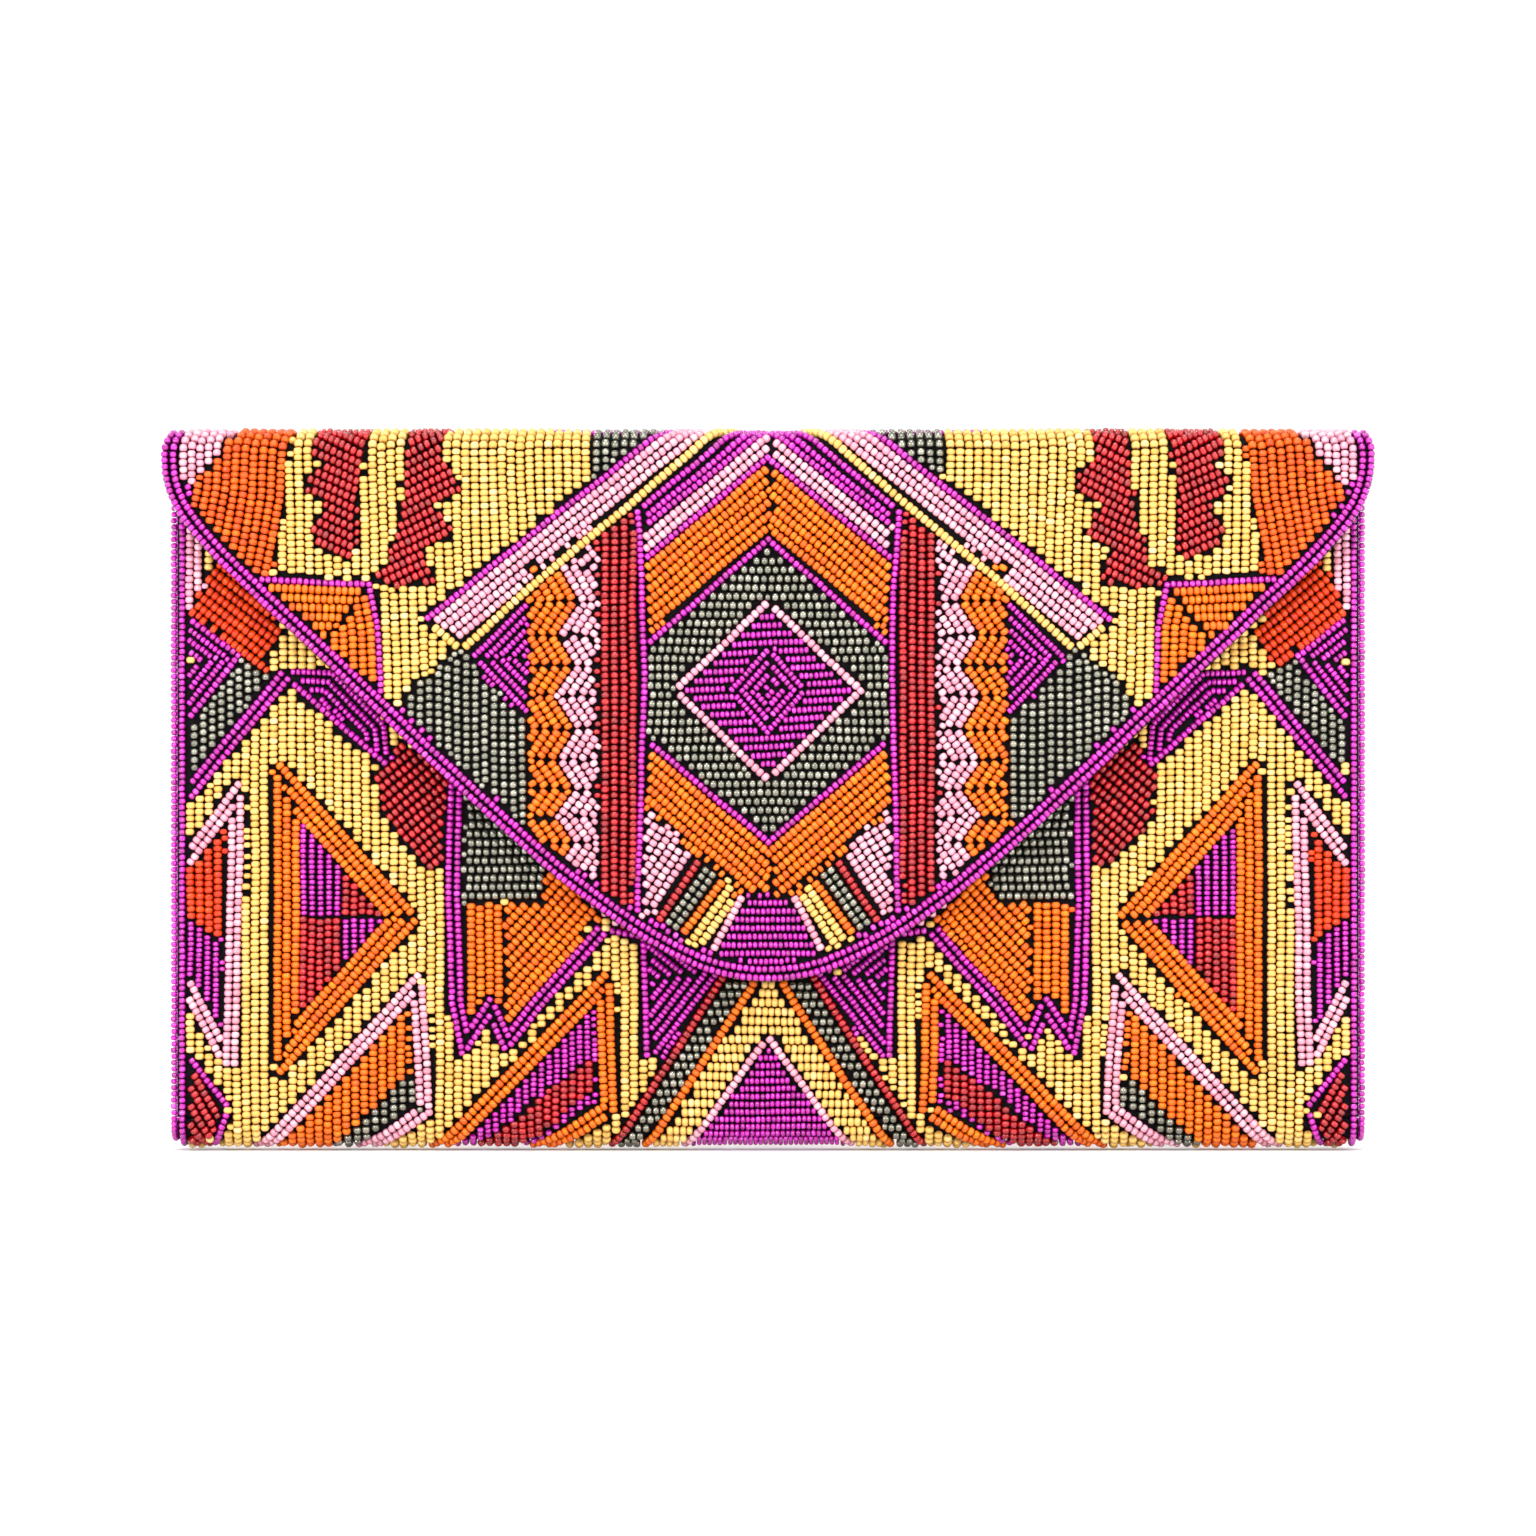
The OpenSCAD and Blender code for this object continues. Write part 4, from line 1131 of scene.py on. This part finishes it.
def place_all():
    flap = flap_field()
    front = front_field()
    back = back_field(flap, front)
    top_zones = ("flap", "fold_front", "spine", "fold_rear")
    place_beads(flap.beads, map_top, top_zones, 1.0)
    place_beads([b for b in flap.beads if b.z > FOLD_Z], map_top, top_zones, 1.0,
                flip_t=SPINE_MID)
    place_beads(front.beads, map_front, ("front", "bottom"), 2.0)
    place_beads([b for b in front.beads if b.z < BOTTOM_Z - 0.4], map_under,
                ("bottom", "bottom"), 2.0)
    place_beads(back.beads, map_back, ("back",), 3.0)
    place_side_rows(BOTTOM_LINE, MOUTH_Z - 0.4, map_front, ("front", "bottom"))
    place_side_rows(BOTTOM_LINE, BOTTOM_Z - 0.2, map_under, ("bottom", "bottom"))
    place_side_rows(BOTTOM_Z, FOLD_Z + 0.2, map_back, ("back",))


def replaced_by(base, zone, colour):
    """CAD pieces that a bead piece stands in for."""
    if base == "bottom":
        return ["bottom_beads"]
    if colour == "edge":
        return [base + "_edge_beads" + zone[len(base):]]
    if base in ("spine", "fold_front", "fold_rear"):
        return ["spine_beads"]
    extra = ["flap_edge_beads"] if (base, colour) == ("flap", "magenta") else []
    return [f"{base}_{colour}_beads"] + extra


def build_beads():
    for (zone, colour), parts in sorted(GROUPS.items()):
        *columns, weight = [np.concatenate(column) for column in zip(*parts)]
        small = colour in ("magenta", "edge")
        most = 2800 if small else 2200          # beads in one piece
        shape = SMALL if small else BIG
        base = zone.replace("_left", "").replace("_right", "")
        material = BEAD_MATERIALS["magenta" if colour == "edge" else colour]
        order = np.argsort(columns[0][:, 0], kind="stable")
        pieces = max(1, math.ceil(len(order) / most))
        for i, part in enumerate(np.array_split(order, pieces)):
            name = ("edge_rows_" if colour == "edge" else colour + "_beads_") + zone
            name += f"_{i + 1}" if pieces > 1 else ""
            tint = np.clip(RNG.beta(2.2, 2.2, len(part)), 0, 1)
            ob = bead_piece(name, *(column[part] for column in columns), tint, shape, material,
                            colour + "_beads")
            if base.startswith("fold"):
                set_blend(ob)
            else:
                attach(ob, "back" if base == "bottom" else base)
            for old in replaced_by(base, zone, colour):
                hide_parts(old)


place_all()
build_beads()

# ------------------------------------------------------------------ building cloth and metal


def at_depth(y):
    return lambda u, v: np.stack([u, np.full_like(u, y), v], -1)


def at_height(z):
    return lambda u, v: np.stack([u, v, np.full_like(u, z)], -1)


class Geo:
    """Collects closed parts of one piece."""

    def __init__(self):
        self.vertices, self.faces, self.count, self.weights = [], [], 0, []

    def take(self, vertices, faces, weights=None):
        vertices = np.asarray(vertices, float).reshape(-1, 3)
        self.vertices.append(vertices)
        self.faces += [tuple(int(i) + self.count for i in face) for face in faces]
        self.weights.append(np.zeros(len(vertices)) if weights is None else weights)
        self.count += len(vertices)

    def sheet(self, outer, inner, weights=None):
        """A thick closed sheet between two grids of points; weights has one value per point."""
        nu, nv = outer.shape[:2]
        a = np.arange(nu * nv).reshape(nu, nv)
        b = a + nu * nv
        faces = []
        for i in range(nu - 1):
            for j in range(nv - 1):
                faces.append((a[i, j], a[i + 1, j], a[i + 1, j + 1], a[i, j + 1]))
                faces.append((b[i, j], b[i, j + 1], b[i + 1, j + 1], b[i + 1, j]))
        for i in range(nu - 1):
            faces.append((a[i, 0], b[i, 0], b[i + 1, 0], a[i + 1, 0]))
            faces.append((a[i + 1, -1], b[i + 1, -1], b[i, -1], a[i, -1]))
        for j in range(nv - 1):
            faces.append((a[0, j + 1], b[0, j + 1], b[0, j], a[0, j]))
            faces.append((a[-1, j], b[-1, j], b[-1, j + 1], a[-1, j + 1]))
        if weights is not None:
            weights = np.concatenate([weights.ravel(), weights.ravel()])
        self.take(np.vstack([outer.reshape(-1, 3), inner.reshape(-1, 3)]), faces, weights)

    def surface(self, us, vs, outer, inner):
        """A sheet between two functions of u and v."""
        u, v = np.meshgrid(us, vs, indexing="ij")
        self.sheet(outer(u, v), inner(u, v))

    def tube(self, rings, closed=False):
        """Joins rings of points; the ends are capped unless the path is closed."""
        rings = np.array(rings)
        n, m = rings.shape[:2]
        faces = []
        for i in range(n if closed else n - 1):
            k = (i + 1) % n
            for j in range(m):
                nxt = (j + 1) % m
                faces.append((i * m + j, k * m + j, k * m + nxt, i * m + nxt))
        if not closed:
            faces.append(tuple(range(m)))
            faces.append(tuple((n - 1) * m + j for j in reversed(range(m))))
        self.take(rings, faces)

    def stitch(self, start, end, facing, radius=0.16, lift=0.12):
        """One thread stitch arched over cloth that faces +Y (1) or -Y (-1)."""
        start, end, up = np.array(start, float), np.array(end, float), np.array([0.0, facing, 0])
        along = end - start
        length = np.linalg.norm(along)
        along /= length
        side = np.cross(along, up)
        rings = []
        for t in (0.0, 0.12, 0.35, 0.65, 0.88, 1.0):
            is_end = t in (0.0, 1.0)
            height = -0.10 if is_end else lift * math.sin(math.pi * t) ** 0.5
            r = radius * (0.55 if is_end else 1.0)
            centre = start + along * (length * t) + up * height
            rings.append([centre + r * (math.cos(a) * side + math.sin(a) * up)
                          for a in np.arange(6) * math.pi / 3])
        self.tube(rings)

    def hem(self, outline, section, face_y, inward):
        """Sweeps (inset, depth) points along an outline whose inside is to its left."""
        lines = [offset(outline, inset) for inset, _ in section]
        self.tube([[(line[i, 0], face_y + inward * depth, line[i, 1])
                    for line, (_, depth) in zip(lines, section)] for i in range(len(outline))])

    def lathe(self, section, y0, direction):
        """Turns closed (radius, distance) points about the snap's axis."""
        self.tube([[(r * math.cos(a), y0 + direction * d, SNAP_Z + r * math.sin(a))
                    for r, d in section] for a in np.arange(56) * 2 * math.pi / 56], closed=True)

    def build(self, name, material, body=None, fold=None, replaces=None):
        mesh = bpy.data.meshes.new(name)
        points = np.vstack(self.vertices) / MM
        mesh.from_pydata([tuple(p) for p in points], [], self.faces)
        mesh.validate()
        ob = bpy.data.objects.new(name, mesh)
        bpy.context.scene.collection.objects.link(ob)
        mesh.materials.append(material)
        mesh.polygons.foreach_set("use_smooth", np.full(len(mesh.polygons), True))
        self.tidy(mesh)
        if fold:
            set_blend(ob)
        else:
            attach(ob, body)
        if replaces:
            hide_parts(replaces)

    @staticmethod
    def tidy(mesh):
        """Faces look outwards; edges are sharp where faces meet steeply."""
        bm = bmesh.new()
        bm.from_mesh(mesh)
        bmesh.ops.recalc_face_normals(bm, faces=bm.faces)
        for e in bm.edges:
            steep = math.radians(40)
            e.smooth = not (len(e.link_faces) == 2 and e.calc_face_angle(0) > steep)
        bm.to_mesh(mesh)
        bm.free()


# ------------------------------------------------------------------ flap cloth and lining

# left top, down to the tip and up to the right top
FLAP_LINE = np.vstack([(flap_edge(20) * [-1, 1])[:-1], flap_edge(20)[::-1]])

# cloth turned over an edge: (inset, depth) from the outer face round to the inner one
TURN_START = [(3.9, 0), (0.45, 0), (0.14, 0.12), (0, 0.42), (0, 1.2)]
TURN_END = [(0.55, 1.0), (0.5, 0.7), (0.6, 0.47), (3.9, 0.45)]
FLAP_TURN = (TURN_START + [(0.14, 1.48), (0.42, 1.60), (3.8, 1.60), (3.8, 1.20), (0.8, 1.18)]
             + TURN_END)
PANEL_TURN = (TURN_START + [(0.14, 1.44), (0.42, 1.56), (3.0, 1.56), (3.0, 1.2), (0.8, 1.16)]
              + TURN_END)
HEM_INSET, FACE_THICK = 3.9, 0.45


def flap_sheet(geo, inset, y_face, y_other, nx, nz, pucker=0.0, seed=0.0):
    """The flap's shape as a closed sheet of columns; pucker waves the first face."""
    line = offset(FLAP_LINE, inset)
    half = line[len(line) // 2:]                # from the tip up the right side
    keep = [0]
    for i in range(1, len(half)):
        if half[i, 0] > half[keep[-1], 0] + 1e-4:
            keep.append(i)
    edge_x, edge_z = half[keep, 0] - half[0, 0], half[keep, 1]
    x_max = edge_x[-1]
    xs = np.sin(np.linspace(-1, 1, nx) * math.pi / 2) * x_max
    low = np.minimum(np.interp(np.abs(xs), edge_x, edge_z), FOLD_Z - 0.3)
    v = np.linspace(0, 1, nz) ** 1.3
    x = np.repeat(xs[:, None], nz, 1)
    z = low[:, None] + (FOLD_Z - low[:, None]) * v[None, :]
    d = np.minimum((z - low[:, None]) * 0.72, x_max - np.abs(x) + 0.3)     # from the edge
    w = (pucker * np.exp(-np.maximum(d - 2.2, 0) / 5.0)
         * np.sin(x * 0.95 + 0.35 * np.sin(z * 0.21 + seed)) * np.clip(d / 2.0, 0, 1))
    w += pucker * 0.8 * wave(x * 1.3, z * 1.2, seed) * np.clip(d / 12, 0, 1)
    roll = 0.16 * np.exp(-d / 0.5)              # the edge turns in
    sign = 1 if y_face > y_other else -1
    geo.sheet(np.stack([x, y_face + w - sign * roll, z], -1), at_depth(y_other)(x, z))


def build_flap():
    geo = Geo()
    flap_sheet(geo, HEM_INSET, FLAP_Y, FLAP_Y + FACE_THICK, 90, 40)
    geo.hem(FLAP_LINE, FLAP_TURN, FLAP_Y, 1)
    geo.build("flap_ground_cloth", CLOTH, "flap", replaces="flap_cloth")

    lo, hi = cad_box("flap_lining")
    geo = Geo()
    flap_sheet(geo, 2.0, hi[1] - 0.02, lo[1], 260, 90, pucker=0.07, seed=0.6)
    geo.build("flap_satin_lining", SATIN, "flap", replaces="flap_lining")

    geo = Geo()
    inset, pitch, half_stitch = 3.4, 3.4, 1.05
    y = hi[1] - 0.06
    for (x, z), angle in zip(*walk(offset(FLAP_LINE, inset), pitch)):
        dx, dz = math.cos(angle) * half_stitch, math.sin(angle) * half_stitch
        if z < FOLD_Z - 1.2:
            geo.stitch((x - dx, y, z - dz), (x + dx, y, z + dz), 1)
    geo.build("flap_lining_stitches", THREAD, "flap")


# ------------------------------------------------------------------ panel cloth


def panel_cloth(geo, z0, z1, y_outer, y_inner):
    x = HALF_W - HEM_INSET
    geo.surface(np.linspace(-x, x, 60), np.linspace(z0, z1, 36),
                at_depth(y_outer), at_depth(y_inner))


def front_outline():
    """Up the right side, over two rounded corners and down the left side."""
    r = 1.6
    points = [(HALF_W, FOOT_Z)]
    for x, start in ((HALF_W - r, 0), (-HALF_W + r, 90)):
        for i in range(7):
            a = math.radians(start + 90 * i / 6)
            points.append((x + r * math.cos(a), MOUTH_Z - r + r * math.sin(a)))
    return np.array(points + [(-HALF_W, FOOT_Z)])


def build_panels():
    geo = Geo()
    panel_cloth(geo, FOOT_Z, MOUTH_Z - HEM_INSET, FRONT_Y, FRONT_Y + FACE_THICK)
    geo.hem(front_outline(), PANEL_TURN, FRONT_Y, 1)
    geo.build("front_ground_cloth", CLOTH, "front", replaces="front_cloth")

    geo = Geo()
    panel_cloth(geo, BOTTOM_Z, FOLD_Z, BACK_Y, BACK_Y - FACE_THICK)
    for side in (1, -1):
        line = np.array([(side * HALF_W, z) for z in np.linspace(BOTTOM_Z, FOLD_Z, 40)])
        geo.hem(line[::side], PANEL_TURN, BACK_Y, -1)
    geo.build("back_ground_cloth", CLOTH, "back", replaces="back_cloth")


# ------------------------------------------------------------------ top folds and spine


def fold_sheet(name, rear, half_widths, panel_radii, spine_radii, material, slot, replaces):
    """Sheet round one top fold; half widths are (panel, spine), radii (inner, outer)."""
    u, angle = np.meshgrid(np.linspace(-1, 1, 70), np.linspace(0, QUARTER, 18), indexing="ij")
    k = angle / QUARTER                         # 0 at the panel, 1 at the spine
    x = u * (half_widths[0] + (half_widths[1] - half_widths[0]) * k)
    centre, direction = (REAR_ARC_Y, 1) if rear else (FRONT_ARC_Y, -1)

    def at(panel_r, spine_r):
        r = panel_r + (spine_r - panel_r) * k
        return np.stack([x, centre + direction * r * np.cos(angle),
                         FOLD_Z + r * np.sin(angle)], -1)

    geo = Geo()
    geo.sheet(at(panel_radii[1], spine_radii[1]), at(panel_radii[0], spine_radii[0]),
              k if rear else 1 - k)
    geo.build(name, material, fold=REAR_FOLD if rear else FRONT_FOLD, replaces=replaces)


def spine_sheet(name, half_width, count, radii, material, slot, replaces):
    geo = Geo()
    geo.surface(np.linspace(-half_width, half_width, count),
                np.linspace(FRONT_ARC_Y, REAR_ARC_Y, 8),
                at_height(FOLD_Z + radii[1]), at_height(FOLD_Z + radii[0]))
    geo.build(name, material, "spine", replaces=replaces)


def build_folds():
    radii = (FOLD_R - CLOTH_THICK, FOLD_R)
    finish = (CLOTH, "ground_cloth", "spine_cloth")
    fold_sheet("front_fold_cloth", False, (FLAP_W - 0.3, SPINE_W), radii, radii, *finish)
    fold_sheet("rear_fold_cloth", True, (HALF_W, SPINE_W), radii, radii, *finish)
    spine_sheet("spine_ground_cloth", SPINE_W, 70, radii, *finish)

    back_lo, back_hi = cad_box("back_lining")
    flap_lo, flap_hi = cad_box("flap_lining")
    spine_lo, spine_hi = cad_box("spine_lining")
    half_width = back_hi[0]
    flap_radii = (abs(FRONT_ARC_Y - flap_hi[1]), abs(FRONT_ARC_Y - flap_lo[1]))
    back_radii = (back_lo[1] - REAR_ARC_Y, back_hi[1] - REAR_ARC_Y)
    radii = (spine_lo[2] - FOLD_Z, spine_hi[2] - FOLD_Z)
    finish = (SATIN, "satin_lining", "spine_lining")
    fold_sheet("front_fold_lining", False, (FLAP_W - 2.0, half_width), flap_radii, radii,
               *finish)
    fold_sheet("rear_fold_lining", True, (half_width, half_width), back_radii, radii, *finish)
    spine_sheet("spine_satin_lining", half_width, 90, radii, *finish)


# ------------------------------------------------------------------ bottom fold


def round_bottom(r):
    return lambda x, angle: np.stack([x, MID_Y + r * np.cos(angle),
                                      BOTTOM_Z - r * np.sin(angle)], -1)


def trough(geo, half_width, r, thick):
    geo.surface(np.linspace(-half_width, half_width, 80), np.linspace(0, math.pi, 40),
                round_bottom(r), round_bottom(r - thick))


def build_bottom():
    geo = Geo()
    trough(geo, HALF_W, BOTTOM_R, CLOTH_THICK)
    for side in (-1, 1):                        # domed end caps
        angle, r = np.meshgrid(np.linspace(0, math.pi, 20),
                               np.linspace(0.02, BOTTOM_R - CLOTH_THICK - 0.02, 8),
                               indexing="ij")
        dome = 0.5 * np.cos(r / BOTTOM_R * math.pi / 2)
        outer = round_bottom(r)(side * (HALF_W - 0.9 + dome), angle)
        geo.sheet(outer, outer - np.array([side * 0.35, 0, 0]))
    geo.build("bottom_ground_cloth", CLOTH, "back", replaces="bottom_cloth")

    lo, hi = cad_box("bottom_lining")
    geo = Geo()
    trough(geo, hi[0], (hi[1] - lo[1]) / 2, 0.4)
    geo.build("bottom_satin_lining", SATIN, "back", replaces="bottom_lining")


# ------------------------------------------------------------------ panel linings


def build_lining(body, face, seed, stitched):
    """Lining of one panel; face is the direction from its pocket side to its panel side."""
    lo, hi = cad_box(body + "_lining")
    x, top = hi[0], hi[2]
    y_pocket, y_panel = (lo[1], hi[1]) if face > 0 else (hi[1], lo[1])
    stitch_z = top - 3.4

    def pocket_side(u, v):
        below = np.clip((top - v) / 3.0, 0, 1)
        inward = np.clip((x - np.abs(u)) / 6.0, 0, 1)
        soft = 0.16 * wave(u * 1.1, v * 0.9, seed) * inward * np.clip((top - v) / 10, 0, 1)
        pucker = 0.05 * np.sin(u * 1.2) * np.exp(-np.abs(stitch_z - v) / 2.0)
        y = (y_pocket + face * (0.10 * (1 - below) ** 2) + face * soft * 0.5 + face * pucker)
        return np.stack([u, y, v], -1)

    geo = Geo()
    geo.surface(np.linspace(-x, x, 120), np.linspace(lo[2], top, 70),
                pocket_side, at_depth(y_panel))
    name = body + "_satin_lining"
    geo.build(name, SATIN, body, replaces=body + "_lining")
    if stitched:
        geo = Geo()
        y = y_pocket - face * 0.02
        for left in np.arange(-x + 2, x - 2, 3.4):
            geo.stitch((left, y, stitch_z), (left + 2.1, y, stitch_z), -face, 0.15, 0.08)
        geo.build(name + "_stitches", THREAD, body)


def build_slip_pocket():
    """Slip pocket on the back lining, with a rolled hem along its mouth."""
    lo, hi = cad_box("slip_pocket")
    x, z0, z1 = hi[0], lo[2], hi[2]
    us = np.linspace(-x, x, 90)

    def front(u, v):
        d = np.minimum(np.minimum(x - np.abs(u), v - z0), 6) / 6
        puff = 0.55 * np.clip(d, 0, 1) ** 0.7 * (0.8 + 0.2 * np.sin(u * 0.08 + 0.5))
        pucker = 0.04 * np.sin(u * 1.1) * np.exp(-np.abs(v - z1 + 6) / 3)
        return np.stack([u, hi[1] - 0.42 - puff + pucker, v], -1)

    def rear(u, v):
        return front(u, v) + np.array([0, 0.32, 0])

    def stitch_y(u, v):
        return front(np.array(u), np.array(v))[1] - 0.02

    geo = Geo()
    geo.surface(us, np.linspace(z0, z1, 60), front, rear)
    geo.tube([[(p[0], p[1] + 0.16 + 0.30 * math.cos(a), p[2] + 0.9 + 0.95 * math.sin(a))
               for a in np.arange(8) * math.pi / 4] for p in front(us, np.full_like(us, z1))])
    geo.build("slip_pocket_satin", SATIN, "back", replaces="slip_pocket")

    geo = Geo()
    inset, pitch = 1.2, 3.3
    side, foot = x - inset, z0 + inset
    path = [(-side, z1 - 1), (-side, foot), (side, foot), (side, z1 - 1)]
    for (u, v), angle in zip(*walk(path, pitch)):
        y, du, dv = stitch_y(u, v), math.cos(angle), math.sin(angle)
        geo.stitch((u - du, y, v - dv), (u + du, y, v + dv), -1, 0.15, 0.1)
    v = z1 - inset
    for u in np.arange(-x + 2, x - 3, pitch):
        y = stitch_y(u, v)
        geo.stitch((u, y, v), (u + 2.0, y, v), -1, 0.15, 0.1)
    geo.build("slip_pocket_stitches", THREAD, "back")


# ------------------------------------------------------------------ gussets and snap


def build_gusset(side, side_name):
    """One soft pleat of cloth between the panels."""
    s, z = np.meshgrid(np.linspace(0, 1, 26), np.linspace(BOTTOM_Z - 0.5, MOUTH_Z - 2.4, 70),
                       indexing="ij")
    y_back, y_front = BACK_Y - 1.7, FRONT_Y + 1.7
    depth = 11.0 * (0.42 + 0.58 * ease(z, BOTTOM_Z, BOTTOM_Z + 26)) + 0.35 * np.sin(z * 0.33)
    k = np.sin(s * math.pi) ** 0.75
    x = HALF_W - 0.5 - depth * k
    y = (y_back + (y_front - y_back) * (s - 0.10 * np.sin(s * 2 * math.pi))
         + 0.12 * np.sin(z * 0.21 + s * 5) * k)
    outer = np.stack([side * x, y, z], -1)
    dx, dy = np.gradient(x, axis=0), np.gradient(y, axis=0)
    length = np.sqrt(dx**2 + dy**2) + 1e-9
    thick = 0.34
    inner = outer + thick * np.stack([side * dy / length, -dx / length, np.zeros_like(x)], -1)
    geo = Geo()
    geo.sheet(outer, inner, s)
    geo.build("gusset_cloth_" + side_name, GUSSET,
              fold=("back", "front", (0, y_back / MM, 0.1), (0, y_front / MM, 0.1)),
              replaces="gusset_" + side_name)


def build_snap():
    """Turned cup on the front panel and stud on the flap."""
    r, height, bore = (CUP_HI[0] - CUP_LO[0]) / 2, CUP_HI[1] - CUP_LO[1], 3.2
    geo = Geo()
    geo.lathe([(r - 0.05, 0), (r, 0.25), (r, height - 0.55), (r - 0.18, height - 0.18),
               (r - 0.55, height), (bore + 0.75, height), (bore + 0.35, height - 0.06),
               (bore + 0.06, height - 0.3), (bore + 0.05, height - 0.42),
               (bore + 0.5, height - 0.42), (r - 0.75, height - 0.42), (r - 0.42, height - 0.7),
               (r - 0.42, 0.05)], CUP_HI[1], -1)
    geo.build("snap_cup", NICKEL, "front", replaces="snap_socket_cup")

    plate_y = cad_box("flap_lining")[1][1]      # the stud's plate lies on the lining
    length = cad_box("snap_stud")[1][1] - plate_y
    axis, plate_r = 0.02, 7.0
    geo = Geo()
    geo.lathe([(axis, 0.0), (plate_r, 0.0), (plate_r, 0.35), (6.7, 0.62), (6.2, 0.70),
               (5.6, 0.62), (4.4, 0.60), (3.2, 0.66), (2.72, 0.9), (2.62, 1.2),
               (2.7, length - 0.55), (2.62, length - 0.25), (2.35, length - 0.06),
               (1.9, length), (axis, length)], plate_y, 1)
    geo.build("snap_stud_turned", NICKEL, "flap", replaces="snap_stud")


def dress_cad_parts():
    """CAD parts that keep their shape get their finish."""
    for material, slot, names in (
            (BOARD, "stiffener_board", ("back_board", "front_board", "flap_board")),
            (FERRITE, "ferrite", ("snap_magnet",)),
            (NICKEL, "nickel", ("snap_socket_plate", "snap_socket_washer",
                                "snap_stud_washer"))):
        for name in names:
            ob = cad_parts[name]
            if not ob.material_slots:
                ob.data.materials.append(material)
            for material_slot in ob.material_slots:
                material_slot.material = material


build_flap()
build_panels()
build_folds()
build_bottom()
build_lining("back", face=1, seed=0.4, stitched=False)
build_lining("front", face=-1, seed=1.9, stitched=True)
build_slip_pocket()
build_gusset(-1, "left")
build_gusset(1, "right")
build_snap()
dress_cad_parts()

# ------------------------------------------------------------------ stage, light, camera (m)


def paper_material():
    sh = Shader("studio_paper")
    grain = sh.noise(300, 4)
    # painted light: the paper glows more and more away from the object, lifting the sweep towards
    # white while the shade next to the bag stays
    position = sh.add("NewGeometry").outputs["Position"]
    distance = sh.add("VectorMath", {0: position}, operation="LENGTH").outputs["Value"]
    sh.surface({"Base Color": sh.ramp(grain, [(0.3, (0.76,) * 3), (0.7, (0.79,) * 3)]),
                "Roughness": 0.85, "Specular IOR Level": 0.2,
                "Emission Color": (1, 1, 1, 1),
                "Emission Strength": sh.remap(distance, to=(0.0, 0.24), source=(0.12, 0.75))})
    return sh.material


def build_floor():
    """Pale floor that rises in a wide curve to a wall, all the way round."""
    flat_r, curve_r, segments, drop = 2.0, 1.2, 96, 0.0003
    section = [(0.001, 0), (0.4, 0), (0.9, 0), (1.5, 0), (flat_r, 0)]      # (radius, height)
    for i in range(1, 13):
        a = i / 12 * math.pi / 2
        section.append((flat_r + curve_r * math.sin(a), curve_r * (1 - math.cos(a))))
    section += [(3.2, 2.0), (3.2, 3.4)]
    angles = [2 * math.pi * j / segments for j in range(segments)]
    vertices = [(r * math.cos(a), r * math.sin(a), z - drop) for r, z in section for a in angles]
    faces = []
    for i in range(len(section) - 1):
        low, high = i * segments, (i + 1) * segments
        for j in range(segments):
            k = (j + 1) % segments
            faces.append((low + j, low + k, high + k, high + j))
    faces.append(tuple(reversed(range(segments))))
    mesh = bpy.data.meshes.new("studio_floor")
    mesh.from_pydata(vertices, [], faces)
    mesh.polygons.foreach_set("use_smooth", np.ones(len(faces), bool))
    ob = bpy.data.objects.new("studio_floor", mesh)
    bpy.context.scene.collection.objects.link(ob)
    mesh.materials.append(paper_material())


def area_light(name, location, size, power, size_y=None):
    """A lamp aimed at the middle of the bag."""
    light = bpy.data.lights.new(name, "AREA")
    light.energy = power
    light.size = size
    if size_y:
        light.shape = "RECTANGLE"
        light.size_y = size_y
    ob = bpy.data.objects.new(name, light)
    ob.location = location
    ob.rotation_mode = "QUATERNION"
    aim = Vector(location) - Vector((0, 0, 0.09))
    ob.rotation_quaternion = aim.to_track_quat("Z", "Y")
    bpy.context.scene.collection.objects.link(ob)


def build_lights():
    area_light("key_left", (-0.85, -1.15, 0.62), size=0.34, power=12.2, size_y=0.5)
    area_light("key_right", (0.90, -1.10, 0.50), size=0.30, power=8.0, size_y=0.5)
    area_light("top", (0.0, -0.42, 1.25), size=0.7, power=8.4)
    area_light("back_left", (-1.0, 1.2, 0.9), size=0.4, power=12, size_y=0.6)
    area_light("back_right", (1.1, 1.1, 0.7), size=0.4, power=9, size_y=0.6)
    area_light("ceiling", (0, 0, 2.9), size=3.0, power=57)
    world = bpy.data.worlds.new("studio")
    bpy.context.scene.world = world
    world.use_nodes = True
    background = world.node_tree.nodes.get("Background")
    background.inputs["Color"].default_value = (1, 1, 1, 1)
    background.inputs["Strength"].default_value = 0.16


def build_camera():
    """Level camera in front of the bag, framing a given width at the bag's front."""
    distance, height, front_depth, view_width = 1.35, 0.0884, 0.0096, 0.354
    camera = bpy.data.cameras.new("camera")
    ob = bpy.data.objects.new("camera", camera)
    bpy.context.scene.collection.objects.link(ob)
    bpy.context.scene.camera = ob
    camera.sensor_width = 36
    camera.lens = 36 * (distance - front_depth) / view_width
    ob.location = (0, -distance, height)
    ob.rotation_euler = (math.pi / 2, 0, 0)
    camera.clip_start, camera.clip_end = 0.05, 20
    bpy.context.scene.view_settings.view_transform = "Standard"


build_floor()
build_lights()
build_camera()
